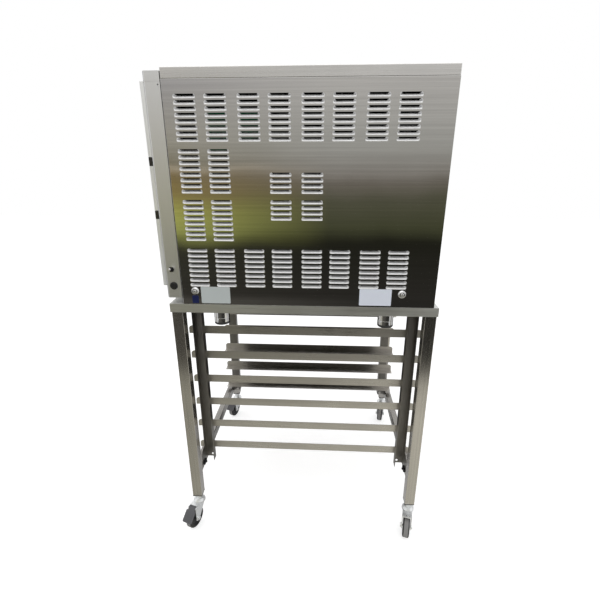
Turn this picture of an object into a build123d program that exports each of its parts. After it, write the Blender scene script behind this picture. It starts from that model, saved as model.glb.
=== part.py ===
from build123d import *
import math
import os

# Convection oven on a wheeled stand with tray racks. All lengths are in millimetres.
# +X points to the louvred side, -Y to the door, +Z up. The stand's centre on the floor is
# the working origin; main() moves the finished pieces so that the exported origin lies
# under the middle of the whole object's box.

# Overall sizes
BODY_W = 735.0  # oven casing and stand, left to right
BODY_D = 769.0  # casing behind the front section
BODY_H = 649.0  # casing, base to the top of the cover
FRONT_D = 47.0  # front section that carries the door and the controls
STAND_D = 830.0
STAND_H = 890.0  # floor to the top of the stand
REAR_SETBACK = 16.0  # casing's back from the stand's back

# Clearances and sheets
FREE_GAP = 0.3  # between pieces that move past each other
RUN_FIT = 0.05  # radial, for shafts and pins
HOLE_FIT = 0.4  # radial, for a fixed piece that passes through a sheet
SHEET = 1.2  # casing sheet
LINER_T = 1.0  # cavity sheet

# Stand
ANGLE_LEG = 30.0  # top frame's flat flange
ANGLE_H = 29.0  # top frame's upright flange
ANGLE_T = 3.0
LEG_SIDE = 35.0
LEG_WALL = 1.5
CASTOR_H = 122.0  # floor to the bottom of the leg tube
RAIL_D = 26.0
RAIL_H = 38.0
RAIL_Z = 187.5  # underside of the lower cross rails
RAIL_WALL = 1.5

# Tray racks in the stand
RACK_HALF_W = 238.0  # centre line to the outside of the runner's web
RUNNER_COUNT = 6
RUNNER_PITCH = 98.0
RUNNER_TOP_Z = 762.5  # top edge of the highest runner
RUNNER_H = 30.0
RUNNER_LEDGE = 35.0
RUNNER_T = 1.5
RUNNER_SETBACK = 6.0  # runner's end from the frame's outer face
RUNNER_CORNER_R = 12.0
POST_W = 35.0
POST_FLANGE = 27.0
POST_T = 1.5
POST_FOOT = 26.5  # post's foot below the top of the cross rail
POST_TAB = 14.0
POST_HOLE_R = 4.5
EAR_W = 39.0
EAR_H = 72.0
EAR_CORNER_R = 22.0
BOLT_R = 4.0
BOLT_LENGTH = 9.0
BOLT_WASHER = (24.0, 12.0, 6.0)  # rectangular clamp washer: width, height, depth

# Castors
WHEEL_R = 38.0
WHEEL_W = 24.0
TREAD_T = 8.0
AXLE_R = 4.0
AXLE_NUT_R = 7.0
AXLE_NUT_H = 5.0
TRAIL = 36.0  # swivel axis to axle, level
FORK_T = 2.5
FORK_SIDE_GAP = 2.5  # wheel to fork cheek
FORK_CROWN_GAP = 11.0  # wheel's top to the underside of the crown
CROWN_T = 3.0
CROWN_R = 22.0
FORK_EYE_R = 11.0
FORK_FRONT = 11.0  # crown's end beyond the axle, level
STEM_R = 6.0
RACE_R = 21.0
RACE_H = 9.0
COLLAR_R = 12.0
RIVET_R = 10.0
RIVET_H = 3.0
PLUG_FLANGE_H = 4.0
PLUG_DEPTH = 25.0
FRONT_SWIVEL = -20.0  # degrees from +X that the front wheels trail at
REAR_SWIVEL = -14.0
PEDAL_W = 40.0
PEDAL_L = 43.0
PEDAL_T = 2.5
PEDAL_SLOPE = 43.0  # degrees below level
PEDAL_SHOE_GAP = 3.0
PEDAL_BARREL_R = 5.0
PEDAL_PIN_R = 2.5
PEDAL_BACK = 29.0  # along the pedal, from over the wheel back to the pin
PEDAL_CHEEK_GAP = 3.0
PEDAL_LIFT = 18.0  # degrees from braked to free

# Oven feet, which hang inside the stand's frame
FOOT_X = 312.0
FOOT_Y = 266.0
FOOT_R = 25.0
FOOT_WALL = 1.5
FOOT_H = 82.5
PAD_H = 8.0

# Front section
FRONT_BOTTOM_GAP = 20.0  # stand's top to the underside of the front section
FRONT_TOP_DROP = 8.5  # casing's top to the top of the front section
SEAM_GAP = 1.5  # casing's front edge to the front section
CONTROL_W = 123.8  # width of the control panel
CONTROL_CORNER_R = 6.0
FLANGE_W = 15.0  # folded edge of a casing panel

# Casing
COVER_LIP = 27.0
COVER_JOGGLE = 1.5
PAN_LIP = 20.0
CHANNEL_W = 40.0
CHANNEL_Y = 210.0

# Louvres in the right side panel
LOUVRE_W = 60.0
LOUVRE_H = 10.5
LOUVRE_SLIT = 4.5
LOUVRE_DEPTH = 6.0
LOUVRE_T = 0.9
LOUVRE_PITCH = 15.2
LOUVRE_FIRST = 28.5  # panel's front edge to the first column
COLUMN_STEP = 82.0
COLUMN_PAIR_STEP = 170.0
COLUMN_PAIRS = 4
ROW_TOPS = (586.0, 450.0, 315.0, 174.5)  # upper edges of the four rows above the casing's base
ROW_COUNT = 8  # louvres in a full block
# Which columns each row has, and which louvres of the block, counted from the top
ROW_BLOCKS = (
    ((0, 1, 2, 3, 4, 5, 6, 7), (0, ROW_COUNT)),
    ((0, 1), (0, ROW_COUNT)),
    ((3, 4), (ROW_COUNT // 2, ROW_COUNT)),
    ((0, 1), (0, ROW_COUNT)),
    ((3, 4), (0, ROW_COUNT // 2)),
    ((0, 1, 2, 3, 4, 5, 6, 7), (0, ROW_COUNT)),
)
BLOCK_ROWS = (0, 1, 1, 2, 2, 3)

# Small things on the side panel: (distance from the panel's front edge, height above the base)
CUP_SCREW_R = 12.0
CUP_SCREW_H = 5.0
CUP_SCREW_PLACES = ((41.0, 43.0), (670.0, 42.0))
PLATE_T = 0.8
FRONT_PLATE = ((59.0, 149.0), (4.0, 57.0))
REAR_PLATE = ((543.0, 639.0), (5.0, 57.0))
TAG_PLATE = ((30.0, 50.0), (3.5, 28.5))

# Cavity
CAVITY_W = 525.0
CAVITY_D = 708.0
CAVITY_H = 508.0
CAVITY_LEFT = 42.5  # casing's left face to the cavity
CAVITY_FLOOR = 70.0  # casing's base to the cavity floor
INSULATION_T = 30.0
PARTITION_T = 1.5
PLENUM_W = 65.0  # baffle to the cavity's right wall
BAFFLE_T = 1.2
BAFFLE_END_GAP = 15.0
BAFFLE_EDGE_GAP = 2.0
INTAKE_RINGS = 4
INTAKE_RING_STEP = 26.0
INTAKE_HOLE_R = 6.5

# Fan, motor and heating element
FAN_R = 130.0
FAN_W = 42.0
FAN_DISC_T = 2.0
FAN_WALL_GAP = 12.0  # disc to the cavity wall
FAN_HUB_R = 16.0
FAN_HUB_L = 30.0
BLADE_COUNT = 24
BLADE_DEPTH = 34.0
BLADE_T = 1.5
SHAFT_R = 6.0
SHAFT_NUT_R = 10.0
SHAFT_NUT_H = 6.0
SHAFT_HOLE_R = 17.0
MOTOR_R = 55.0
MOTOR_L = 85.0
MOTOR_FLANGE = 150.0
MOTOR_FLANGE_T = 3.0
BEARING_L = 45.0
ELEMENT_ROD_R = 4.0
ELEMENT_LEG_R = 3.4
ELEMENT_RING_RADII = (148.0, 164.0)
ELEMENT_RING_STEP = 20.0
ELEMENT_BACK_GAP = 22.0  # rear ring to the cavity wall
ELEMENT_LEG_SPREAD = 14.0  # degrees between a ring's two legs
ELEMENT_LEG_OUT = 14.0  # leg's end beyond the partition

# Shelves inside the cavity
SHELF_COUNT = 4
SHELF_PITCH = 98.0
SHELF_FIRST = 75.0  # cavity floor to the lowest ledge
SHELF_D = 660.0
SHELF_BACK_GAP = 22.0
SHELF_ROD_R = 3.0  # cross rods
SHELF_SIDE_R = 2.7  # side rods
SHELF_ROD_END = 1.3  # rods run on past the middle of the rod they are welded to
SHELF_WIRE_R = 1.5
SHELF_WIRES = 17
SHELF_SIDE_GAP = 1.5
SHELF_TRAVEL = 55.0
LADDER_BAR_W = 20.0
LADDER_BAR_T = 2.0
LADDER_LEDGE_W = 17.0
LADDER_LEDGE_T = 1.5
LADDER_END_GAP = 12.0
LADDER_BAR_INSET = 110.0
LADDER_TOP_GAP = 16.0

# Lamp, vent and cable entry
LAMP_X = 75.0  # cavity's left wall to the lamp
LAMP_Z = 70.0  # cavity's roof to the lamp
LAMP_R = 30.0
LAMP_RIM = 8.0
LAMP_RIM_T = 3.0
LENS_RISE = 10.0
VENT_X = 85.0  # cavity's left wall to the vent
VENT_Y = 88.0  # cavity's back wall to the vent
VENT_R = 20.0
VENT_WALL = 1.5
VENT_RISE = 50.0  # above the cover
VENT_FLANGE_R = 30.0
VENT_FLANGE_T = 2.0
GLAND_X = 67.0  # casing's right face to the gland
GLAND_Z = 50.0  # casing's base to the gland
GLAND_R = 12.0
GLAND_BORE_R = 7.0
GLAND_HEAD_R = 16.0
GLAND_HEAD_L = 16.0
GLAND_NUT_L = 6.0

# Electrical pieces on the partition
BOARD_SIZE = (160.0, 120.0)  # along Y, along Z
BOARD_T = 1.6
BOARD_STANDOFF = 12.0
BOARD_STANDOFF_R = 3.0
BOARD_Y = -210.0
BOARD_Z = 500.0  # above the casing's base
TERMINAL_SIZE = (45.0, 130.0, 50.0)
TERMINAL_Y = 250.0
TERMINAL_Z = 75.0
TERMINAL_WAYS = 5

# Door
DOOR_T = 38.0
DOOR_FACE_GAP = 7.0  # door's back to the front section
DOOR_END_GAP = 4.0  # door's top and bottom inside the front section's height
DOOR_RIGHT_GAP = 3.7  # handle to the control panel
DOOR_SKIN = 1.2
HINGE_X = 12.5  # casing's left face to the hinge axis
HINGE_PIN_R = 4.0
HINGE_PIN_L = 14.0
HINGE_PLATE_T = 3.0
HINGE_PLATE_W = 27.5
HINGE_PLATE_D = 38.0
HINGE_BLOCK_W = 24.0
HINGE_BLOCK_H = 20.0
WINDOW_SIDE = 78.0  # door's edge to the window
WINDOW_END = 88.0
GLASS_T = 4.0
GLASS_LAP = 14.0
GASKET_W = 10.0
GASKET_OUT = 10.0  # cavity mouth to the gasket
HANDLE_T = 4.0
HANDLE_FRONT_T = 3.0
HANDLE_W = 35.0
HANDLE_OUT = 20.0  # handle's front beyond the door's face
HANDLE_CORNER_R = 2.5
CATCH_SIZE = (10.0, 50.0)
CATCH_Z = 310.0
DOOR_OPEN = 130.0  # degrees

# Controls
KNOB_R = 14.0
KNOB_L = 35.0
KNOB_SHAFT_R = 3.0
KNOB_SHAFT_L = 42.0
KNOB_HEIGHTS = (399.0, 245.0)  # above the front section's underside
KNOB_X = 67.5  # casing's right face to the knobs
KNOB_GRIP_DEPTH = 12.0
KNOB_TURN = 270.0
SWITCH_SIDE = 36.0
SWITCH_D = 30.0
TOGGLE_Y = 21.0  # front face to the toggle
TOGGLE_Z = 90.0  # above the front section's underside
TOGGLE_BUSH_R = 6.0
TOGGLE_BUSH_OUT = 5.0
TOGGLE_BORE_R = 4.0
TOGGLE_NUT_R = 8.5
TOGGLE_NUT_H = 2.5
TOGGLE_ROD_R = 1.6
TOGGLE_BALL_R = 3.4
TOGGLE_LEVER_L = 16.0
TOGGLE_TILT = 13.0  # degrees each way from level
TOGGLE_BOX = (26.0, 16.0, 28.0)
BUTTON_R = 9.7
BUTTON_Y = 23.0  # front face to the button
BUTTON_Z = 38.5
BUTTON_OUT = 4.0
BUTTON_TRAVEL = 3.0
BUTTON_CAP_L = 14.0
BUTTON_STEM_R = 4.0
BUTTON_STEM_L = 12.0
BUTTON_HOUSING_R = 14.0
BUTTON_HOUSING_BACK = 6.0

# Places that follow from the sizes above
BODY_X = BODY_W / 2
BODY_BACK = STAND_D / 2 - REAR_SETBACK
BODY_FRONT = BODY_BACK - BODY_D
BODY_Z = STAND_H
BODY_TOP = BODY_Z + BODY_H
FRONT_FACE = BODY_FRONT - FRONT_D
FRONT_Z = BODY_Z + FRONT_BOTTOM_GAP
FRONT_TOP = BODY_TOP - FRONT_TOP_DROP
CONTROL_LEFT = BODY_X - CONTROL_W
CAVITY_X = (-BODY_X + CAVITY_LEFT, -BODY_X + CAVITY_LEFT + CAVITY_W)
CAVITY_Y = (BODY_FRONT, BODY_FRONT + CAVITY_D)
CAVITY_Z = (BODY_Z + CAVITY_FLOOR, BODY_Z + CAVITY_FLOOR + CAVITY_H)
LINER_RIGHT = CAVITY_X[1] + LINER_T
PARTITION_X = LINER_RIGHT + INSULATION_T
PARTITION_RIGHT = PARTITION_X + PARTITION_T
BAFFLE_X = CAVITY_X[1] - PLENUM_W
FAN_Y = sum(CAVITY_Y) / 2
FAN_Z = sum(CAVITY_Z) / 2
FAN_BACK = CAVITY_X[1] - FAN_WALL_GAP
SHELF_X = (CAVITY_X[0] + LADDER_BAR_T + SHELF_SIDE_GAP, BAFFLE_X - LADDER_BAR_T - SHELF_SIDE_GAP)
SHELF_BACK = CAVITY_Y[1] - SHELF_BACK_GAP
SHELF_FRONT = SHELF_BACK - SHELF_D
DOOR_BACK = FRONT_FACE - DOOR_FACE_GAP
DOOR_FACE = DOOR_BACK - DOOR_T
DOOR_Z = (FRONT_Z + DOOR_END_GAP, FRONT_TOP - DOOR_END_GAP)
DOOR_X = (-BODY_X, CONTROL_LEFT - DOOR_RIGHT_GAP - HANDLE_T)
HINGE_AXIS = (-BODY_X + HINGE_X, (DOOR_BACK + DOOR_FACE) / 2)
KNOB_AXES = [(BODY_X - KNOB_X, FRONT_Z + height) for height in KNOB_HEIGHTS]
TOGGLE_AXIS = (FRONT_FACE + TOGGLE_Y, FRONT_Z + TOGGLE_Z)
TOGGLE_PIVOT_X = BODY_X - SHEET
BUTTON_AXIS = (FRONT_FACE + BUTTON_Y, FRONT_Z + BUTTON_Z)
LEG_X = BODY_X - ANGLE_T - LEG_SIDE / 2
LEG_Y = STAND_D / 2 - ANGLE_T - LEG_SIDE / 2
RAIL_INNER_Y = STAND_D / 2 - ANGLE_T - RAIL_D
CROWN_Z = 2 * WHEEL_R + FORK_CROWN_GAP
PEDAL_ALONG = (math.cos(math.radians(PEDAL_SLOPE)), -math.sin(math.radians(PEDAL_SLOPE)))
PEDAL_NORMAL = (-PEDAL_ALONG[1], PEDAL_ALONG[0])
PEDAL_FOOT = [c + n * (WHEEL_R + PEDAL_SHOE_GAP) for c, n in zip((TRAIL, WHEEL_R), PEDAL_NORMAL)]
PEDAL_PIN = tuple(
    foot - along * PEDAL_BACK - normal * (PEDAL_BARREL_R - PEDAL_T)
    for foot, along, normal in zip(PEDAL_FOOT, PEDAL_ALONG, PEDAL_NORMAL)
)
CASTORS = {
    "front_right": (LEG_X, -LEG_Y, FRONT_SWIVEL),
    "front_left": (-LEG_X, -LEG_Y, FRONT_SWIVEL),
    "rear_right": (LEG_X, LEG_Y, REAR_SWIVEL),
    "rear_left": (-LEG_X, LEG_Y, REAR_SWIVEL),
}
BRAKED = ("front_right", "front_left")


# Basic shapes

def block(x, y, z):
    """Rectangular solid between two limits in each direction."""
    centre = [sum(limits) / 2 for limits in (x, y, z)]
    size = [limits[1] - limits[0] for limits in (x, y, z)]
    return Pos(*centre) * Box(*size)


def bar(axis, span, centre, radius):
    """Round bar along one axis; centre holds the other two coordinates in X, Y, Z order."""
    middle = sum(span) / 2
    places = {"X": (middle, *centre), "Y": (centre[0], middle, centre[-1]), "Z": (*centre, middle)}
    turns = {"X": Rot(0, 90, 0), "Y": Rot(90, 0, 0), "Z": Rot(0, 0, 0)}
    return Pos(*places[axis]) * turns[axis] * Cylinder(radius, span[1] - span[0])


def pipe(axis, span, centre, radius, wall):
    """Round tube along one axis."""
    return bar(axis, span, centre, radius) - bar(axis, span, centre, radius - wall)


def plate_xz(points, y):
    """Flat plate with an outline of (x, z) points, between two y limits."""
    outline = make_face(Polyline(*points, close=True))
    return Pos(0, y[1], 0) * Rot(90, 0, 0) * extrude(outline, y[1] - y[0])


def grown(limits, amount):
    """Limits widened by an amount at both ends."""
    return (limits[0] - amount, limits[1] + amount)


def rim(x, y, z, wall, through):
    """Rectangular ring whose hole runs along one axis; the limits are the outer faces."""
    hole = {name: grown(limits, -wall) for name, limits in zip("XYZ", (x, y, z))}
    hole[through] = grown({"X": x, "Y": y, "Z": z}[through], 1.0)
    return block(x, y, z) - block(hole["X"], hole["Y"], hole["Z"])


def mirrored(shape):
    """The same shape on the other side of the middle plane."""
    return mirror(shape, Plane.YZ)


# Stand

def mitred_angle(length, half_depth):
    """One side of the top frame along X, its corner outwards at y = -half_depth, ends mitred."""
    top = STAND_H
    flat = block((-length / 2, length / 2), (-half_depth, -half_depth + ANGLE_LEG), (top - ANGLE_T, top))
    upright = block((-length / 2, length / 2), (-half_depth, -half_depth + ANGLE_T), (top - ANGLE_H, top))
    outer = length / 2
    inner = outer - ANGLE_LEG
    plan = Polyline(
        (-outer, -half_depth), (outer, -half_depth),
        (inner, -half_depth + ANGLE_LEG), (-inner, -half_depth + ANGLE_LEG),
        close=True,
    )
    mitre = Pos(0, 0, top - ANGLE_H) * extrude(make_face(plan), ANGLE_H)
    return (flat + upright) & mitre


def stand_top_frame():
    """Four mitred lengths of angle, flat flange on top."""
    front = mitred_angle(BODY_W, STAND_D / 2)
    side = mitred_angle(STAND_D, BODY_W / 2)
    return [front, Rot(0, 0, 180) * front, Rot(0, 0, 90) * side, Rot(0, 0, -90) * side]


def stand_legs():
    """Square tubes from the castors to the flat flange."""
    legs = []
    for x in (-LEG_X, LEG_X):
        for y in (-LEG_Y, LEG_Y):
            outer = (x - LEG_SIDE / 2, x + LEG_SIDE / 2), (y - LEG_SIDE / 2, y + LEG_SIDE / 2)
            legs.append(rim(*outer, (CASTOR_H, STAND_H - ANGLE_T), LEG_WALL, "Z"))
    return legs


def lower_cross_rails():
    """Rectangular tubes between the two front legs and the two rear legs."""
    half = LEG_X - LEG_SIDE / 2
    y = (-RAIL_INNER_Y - RAIL_D, -RAIL_INNER_Y)
    front = rim((-half, half), y, (RAIL_Z, RAIL_Z + RAIL_H), RAIL_WALL, "X")
    for x in (-1, 1):
        front -= bar("Y", (-RAIL_INNER_Y - 2 * RAIL_WALL, -RAIL_INNER_Y + 1), bolt_place(x), BOLT_R + HOLE_FIT)
    return [front, Rot(0, 0, 180) * front]


def bolt_place(side):
    """X and Z of the bolt through a rack post's ear."""
    x = RACK_HALF_W + POST_FLANGE + EAR_W * 0.42
    return (side * x, RAIL_Z + RAIL_H - POST_FOOT + BOLT_WASHER[1] / 2 + 3.0)


def rack_post():
    """Right front post: a channel open outwards with an ear that is bolted to the cross rail."""
    foot = RAIL_Z + RAIL_H - POST_FOOT
    top = STAND_H - ANGLE_T
    x = (RACK_HALF_W, RACK_HALF_W + POST_FLANGE)
    y = (-RAIL_INNER_Y, -RAIL_INNER_Y + POST_W)
    web = block((x[0], x[0] + POST_T), y, (foot, top))
    outer = block(x, (y[0], y[0] + POST_T), (foot, top))
    inner = block(x, (y[1] - POST_T, y[1]), (foot, top))
    tab = block(x, (y[0] - POST_TAB, y[0] + POST_T), (top - 2 * POST_T, top))
    ear_x = (x[1], x[1] + EAR_W)
    ear = block(ear_x, (y[0], y[0] + POST_T), (foot, foot + EAR_H))
    corner = [edge for edge in ear.edges().filter_by(Axis.Y) if edge.center().X > ear_x[1] - 1]
    ear = fillet(corner, min(EAR_CORNER_R, EAR_W * 0.6, EAR_H * 0.4))
    hole = bar("X", (x[0] - 1, x[0] + POST_T + 1), (y[1] - POST_W / 3, foot + POST_W / 3), POST_HOLE_R)
    bolt_hole = bar("Y", (y[0] - 1, y[0] + POST_T + 1), bolt_place(1), BOLT_R + HOLE_FIT)
    return web + [outer, inner, tab, ear] - hole - bolt_hole


def tray_rack():
    """Right rack: two posts and the runners welded to them."""
    post = rack_post()
    length = STAND_D - 2 * RUNNER_SETBACK
    pieces = [post, mirror(post, Plane.XZ)]
    web_x = (RACK_HALF_W - RUNNER_T, RACK_HALF_W)
    for number in range(RUNNER_COUNT):
        top = RUNNER_TOP_Z - number * RUNNER_PITCH
        web = block(web_x, (-length / 2, length / 2), (top - RUNNER_H, top))
        corners = [edge for edge in web.edges().filter_by(Axis.X) if edge.center().Z > top - 1]
        web = fillet(corners, min(RUNNER_CORNER_R, RUNNER_H * 0.8))
        ledge_x = (RACK_HALF_W - RUNNER_LEDGE, RACK_HALF_W)
        ledge = block(ledge_x, (-length / 2, length / 2), (top - RUNNER_H, top - RUNNER_H + RUNNER_T))
        pieces.append(web + ledge)
    return pieces


def rack_fixings():
    """Bolts with rectangular washers that hold the posts' ears to the cross rails."""
    fixings = []
    inner = -RAIL_INNER_Y + POST_T
    for side in (-1, 1):
        x, z = bolt_place(side)
        half_w = BOLT_WASHER[0] / 2
        half_h = BOLT_WASHER[1] / 2
        washer = block((x - half_w, x + half_w), (inner, inner + BOLT_WASHER[2]), (z - half_h, z + half_h))
        front = washer + bar("Y", (inner - BOLT_LENGTH, inner + BOLT_WASHER[2] + BOLT_R), (x, z), BOLT_R)
        fixings += [front, mirror(front, Plane.XZ)]
    return fixings


# Castors, drawn with the swivel axis on Z and the wheel trailing towards +X

def castor_stem():
    """Fixed part of a castor: stem, race cup, collar and rivet head."""
    stem = bar("Z", (CROWN_Z - FREE_GAP - RIVET_H, CASTOR_H + PLUG_DEPTH), (0, 0), STEM_R)
    rivet = bar("Z", (CROWN_Z - FREE_GAP - RIVET_H, CROWN_Z - FREE_GAP), (0, 0), RIVET_R)
    race_z = CROWN_Z + CROWN_T + FREE_GAP
    race = Pos(0, 0, race_z + RACE_H / 2) * Cone(RACE_R, COLLAR_R + 2, RACE_H)
    collar_z = (race_z + RACE_H, CASTOR_H - PLUG_FLANGE_H)
    collar = Pos(0, 0, collar_z[0]) * extrude(RegularPolygon(COLLAR_R, 6), collar_z[1] - collar_z[0])
    return stem + [rivet, race, collar]


def leg_plug():
    """Square plug in the foot of a leg tube, bored for the stem."""
    inside = LEG_SIDE / 2 - LEG_WALL
    body = block((-inside, inside), (-inside, inside), (CASTOR_H, CASTOR_H + PLUG_DEPTH))
    half = LEG_SIDE / 2
    flange = block((-half, half), (-half, half), (CASTOR_H - PLUG_FLANGE_H, CASTOR_H))
    bore = bar("Z", (CASTOR_H - PLUG_FLANGE_H - 1, CASTOR_H + PLUG_DEPTH + 1), (0, 0), STEM_R + 2 * RUN_FIT)
    return body + flange - bore


def castor_fork(braked):
    """Pressed fork with its axle bolt, and the pedal's pin on a braked castor."""
    inner = WHEEL_W / 2 + FORK_SIDE_GAP
    outer = inner + FORK_T
    crown = bar("Z", (CROWN_Z, CROWN_Z + CROWN_T), (0, 0), CROWN_R)
    front = TRAIL + FORK_FRONT
    bridge_end = PEDAL_PIN[0] - PEDAL_BARREL_R - 2 * FREE_GAP if braked else front
    bridge = block((0, bridge_end), (-outer, outer), (CROWN_Z, CROWN_Z + CROWN_T))
    crown = crown + bridge - bar("Z", (CROWN_Z - 1, CROWN_Z + CROWN_T + 1), (0, 0), STEM_R + RUN_FIT)
    outline = [
        (-CROWN_R * 0.55, CROWN_Z + CROWN_T), (front, CROWN_Z + CROWN_T),
        (TRAIL + FORK_EYE_R * 0.9, WHEEL_R + 2.0), (TRAIL - FORK_EYE_R * 0.9, WHEEL_R - 4.0),
    ]
    cheeks = []
    for side in (-1, 1):
        y = sorted((side * inner, side * outer))
        cheek = plate_xz(outline, y) + bar("Y", y, (TRAIL, WHEEL_R), FORK_EYE_R)
        cheeks.append(cheek - bar("Y", grown(y, 1), (TRAIL, WHEEL_R), AXLE_R))
    fork = crown + cheeks
    axle = bar("Y", (-outer, outer), (TRAIL, WHEEL_R), AXLE_R)
    for side in (-1, 1):
        span = sorted((side * outer, side * (outer + AXLE_NUT_H)))
        axle += bar("Y", span, (TRAIL, WHEEL_R), AXLE_NUT_R)
    if not braked:
        return [fork, axle]
    fork -= bar("Y", (-outer - 1, outer + 1), PEDAL_PIN, PEDAL_PIN_R)
    pin = bar("Y", (-outer - 1, outer + 1), PEDAL_PIN, PEDAL_PIN_R)
    return [fork, axle, pin]


def castor_wheel():
    """Hub bored for the axle, with a tread around it."""
    y = (-WHEEL_W / 2, WHEEL_W / 2)
    centre = (TRAIL, WHEEL_R)
    hub_r = WHEEL_R - TREAD_T
    hub = bar("Y", y, centre, hub_r)
    dish_r = (AXLE_NUT_R + 3.0, hub_r - 4.0)
    for side in (-1, 1):
        span = sorted((side * WHEEL_W * 0.3, side * (WHEEL_W / 2 + 1)))
        hub -= bar("Y", span, centre, dish_r[1]) - bar("Y", span, centre, dish_r[0])
    hub -= bar("Y", grown(y, 1), centre, AXLE_R + RUN_FIT)
    tread = bar("Y", y, centre, WHEEL_R) - bar("Y", grown(y, 1), centre, hub_r + RUN_FIT)
    tread = fillet(tread.edges().filter_by(GeomType.CIRCLE).group_by(SortBy.RADIUS)[-1], TREAD_T / 2.5)
    return [hub, tread]


def brake_pedal():
    """Pedal hinged between the fork's cheeks, sloping down over the wheel."""
    barrel_w = WHEEL_W / 2 + FORK_SIDE_GAP - FREE_GAP
    wide_from = (TRAIL + FORK_FRONT + PEDAL_CHEEK_GAP - PEDAL_FOOT[0]) / PEDAL_ALONG[0]

    def sheet(span, half_w):
        flat = block(span, (-half_w, half_w), (0, PEDAL_T))
        return Pos(PEDAL_FOOT[0], 0, PEDAL_FOOT[1]) * Rot(0, PEDAL_SLOPE, 0) * flat

    neck = sheet((-PEDAL_BACK, wide_from + 1), barrel_w)
    tread = sheet((wide_from, wide_from + PEDAL_L), PEDAL_W / 2)
    corners = [edge for edge in tread.edges() if abs(edge.length - PEDAL_T) < 0.01]
    tread = fillet(corners, min(5.0, PEDAL_W / 5))
    barrel = bar("Y", (-barrel_w, barrel_w), PEDAL_PIN, PEDAL_BARREL_R)
    bore = bar("Y", (-barrel_w - 1, barrel_w + 1), PEDAL_PIN, PEDAL_PIN_R + RUN_FIT)
    return neck + [tread, barrel] - bore


def at_castor(shape, place):
    """A castor piece moved to its leg and turned to its trailing direction."""
    x, y, swivel = place
    return Pos(x, y, 0) * Rot(0, 0, swivel) * shape


# Casing

def base_pan():
    """Bottom sheet with a front lip and two channels that carry the insulated cavity."""
    x = grown((-BODY_X, BODY_X), -SHEET)
    pan = block(x, (BODY_FRONT, BODY_BACK - SHEET), (BODY_Z, BODY_Z + SHEET))
    lip_x = grown(x, -FLANGE_W - FREE_GAP)
    pan += block(lip_x, (BODY_FRONT, BODY_FRONT + SHEET), (BODY_Z, BODY_Z + PAN_LIP))
    top = CAVITY_Z[0] - LINER_T - INSULATION_T
    for y in (FAN_Y - CHANNEL_Y, FAN_Y + CHANNEL_Y):
        channel_x = (CAVITY_X[0], CAVITY_X[1])
        outer = block(channel_x, (y - CHANNEL_W / 2, y + CHANNEL_W / 2), (BODY_Z + SHEET, top))
        inner_y = (y - CHANNEL_W / 2 + SHEET, y + CHANNEL_W / 2 - SHEET)
        pan += outer - block(channel_x, inner_y, (BODY_Z + SHEET, top - SHEET))
    return pan


def side_panel():
    """Plain right side panel: outer sheet, folded front edge and a joggled top edge."""
    outer = (BODY_X - SHEET, BODY_X)
    step_z = BODY_TOP - COVER_LIP - FREE_GAP
    y = (BODY_FRONT, BODY_BACK)
    sheet = block(outer, y, (BODY_Z, step_z))
    upright_x = (BODY_X - 2 * SHEET - COVER_JOGGLE, BODY_X - SHEET - COVER_JOGGLE)
    upright_y = grown(y, -SHEET - FREE_GAP)
    joggle = block((upright_x[0], outer[1]), upright_y, (step_z - SHEET, step_z))
    upright = block(upright_x, upright_y, (step_z - SHEET, BODY_TOP - SHEET))
    flange_x = (outer[0] - FLANGE_W, outer[0])
    flange = block(flange_x, (y[0], y[0] + SHEET), (BODY_Z + SHEET, step_z - SHEET - FREE_GAP))
    return sheet + [joggle, upright, flange]


def louvre():
    """One pressed louvre, drawn with its outer lower edge on the origin's Y line."""
    top = LOUVRE_H - LOUVRE_SLIT
    y = (0, LOUVRE_W)
    back = -LOUVRE_DEPTH
    ramp = plate_xz([(0, 0), (back, top), (back - LOUVRE_T, top), (-LOUVRE_T, 0)], y)
    cheek = [(0, 0), (0, top), (back, top)]
    return ramp + [plate_xz(cheek, (0, LOUVRE_T)), plate_xz(cheek, (LOUVRE_W - LOUVRE_T, LOUVRE_W))]


def louvre_places():
    """Y of the near end and Z of the lower edge of every louvre."""
    columns = []
    for pair in range(COLUMN_PAIRS):
        first = BODY_FRONT + LOUVRE_FIRST + pair * COLUMN_PAIR_STEP
        columns += [first, first + COLUMN_STEP]
    places = []
    for row, (used, span) in zip(BLOCK_ROWS, ROW_BLOCKS):
        for column in used:
            for number in range(*span):
                z = BODY_Z + ROW_TOPS[row] - number * LOUVRE_PITCH - LOUVRE_H
                places.append((columns[column], z))
    return places


def right_side_panel():
    """Side panel with its blocks of louvres pressed inwards."""
    windows = []
    scoops = []
    form = louvre()
    for y, z in louvre_places():
        windows.append(block((BODY_X - SHEET - 1, BODY_X + 1), (y, y + LOUVRE_W), (z, z + LOUVRE_H)))
        scoops.append(Pos(BODY_X, y, z) * form)
    return side_panel() - windows + scoops


def back_panel():
    """Rear sheet with the cable gland's hole."""
    x = grown((-BODY_X, BODY_X), -SHEET)
    z = (BODY_Z + SHEET, BODY_TOP - COVER_LIP - FREE_GAP)
    sheet = block(x, (BODY_BACK - SHEET, BODY_BACK), z)
    gland = (BODY_X - GLAND_X, BODY_Z + GLAND_Z)
    return sheet - bar("Y", grown((BODY_BACK - SHEET, BODY_BACK), 1), gland, GLAND_R + HOLE_FIT)


def vent_place():
    """X and Y of the vent pipe."""
    return (CAVITY_X[0] + VENT_X, CAVITY_Y[1] - VENT_Y)


def top_cover():
    """Lid with a folded lip all round and the vent's hole."""
    x = (-BODY_X, BODY_X)
    y = (BODY_FRONT, BODY_BACK)
    outer = block(x, y, (BODY_TOP - COVER_LIP, BODY_TOP))
    inner = block(grown(x, -SHEET), grown(y, -SHEET), (BODY_TOP - COVER_LIP - 1, BODY_TOP - SHEET))
    hole = bar("Z", (BODY_TOP - SHEET - 1, BODY_TOP + 1), vent_place(), VENT_FLANGE_R + HOLE_FIT)
    return outer - inner - hole


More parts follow.
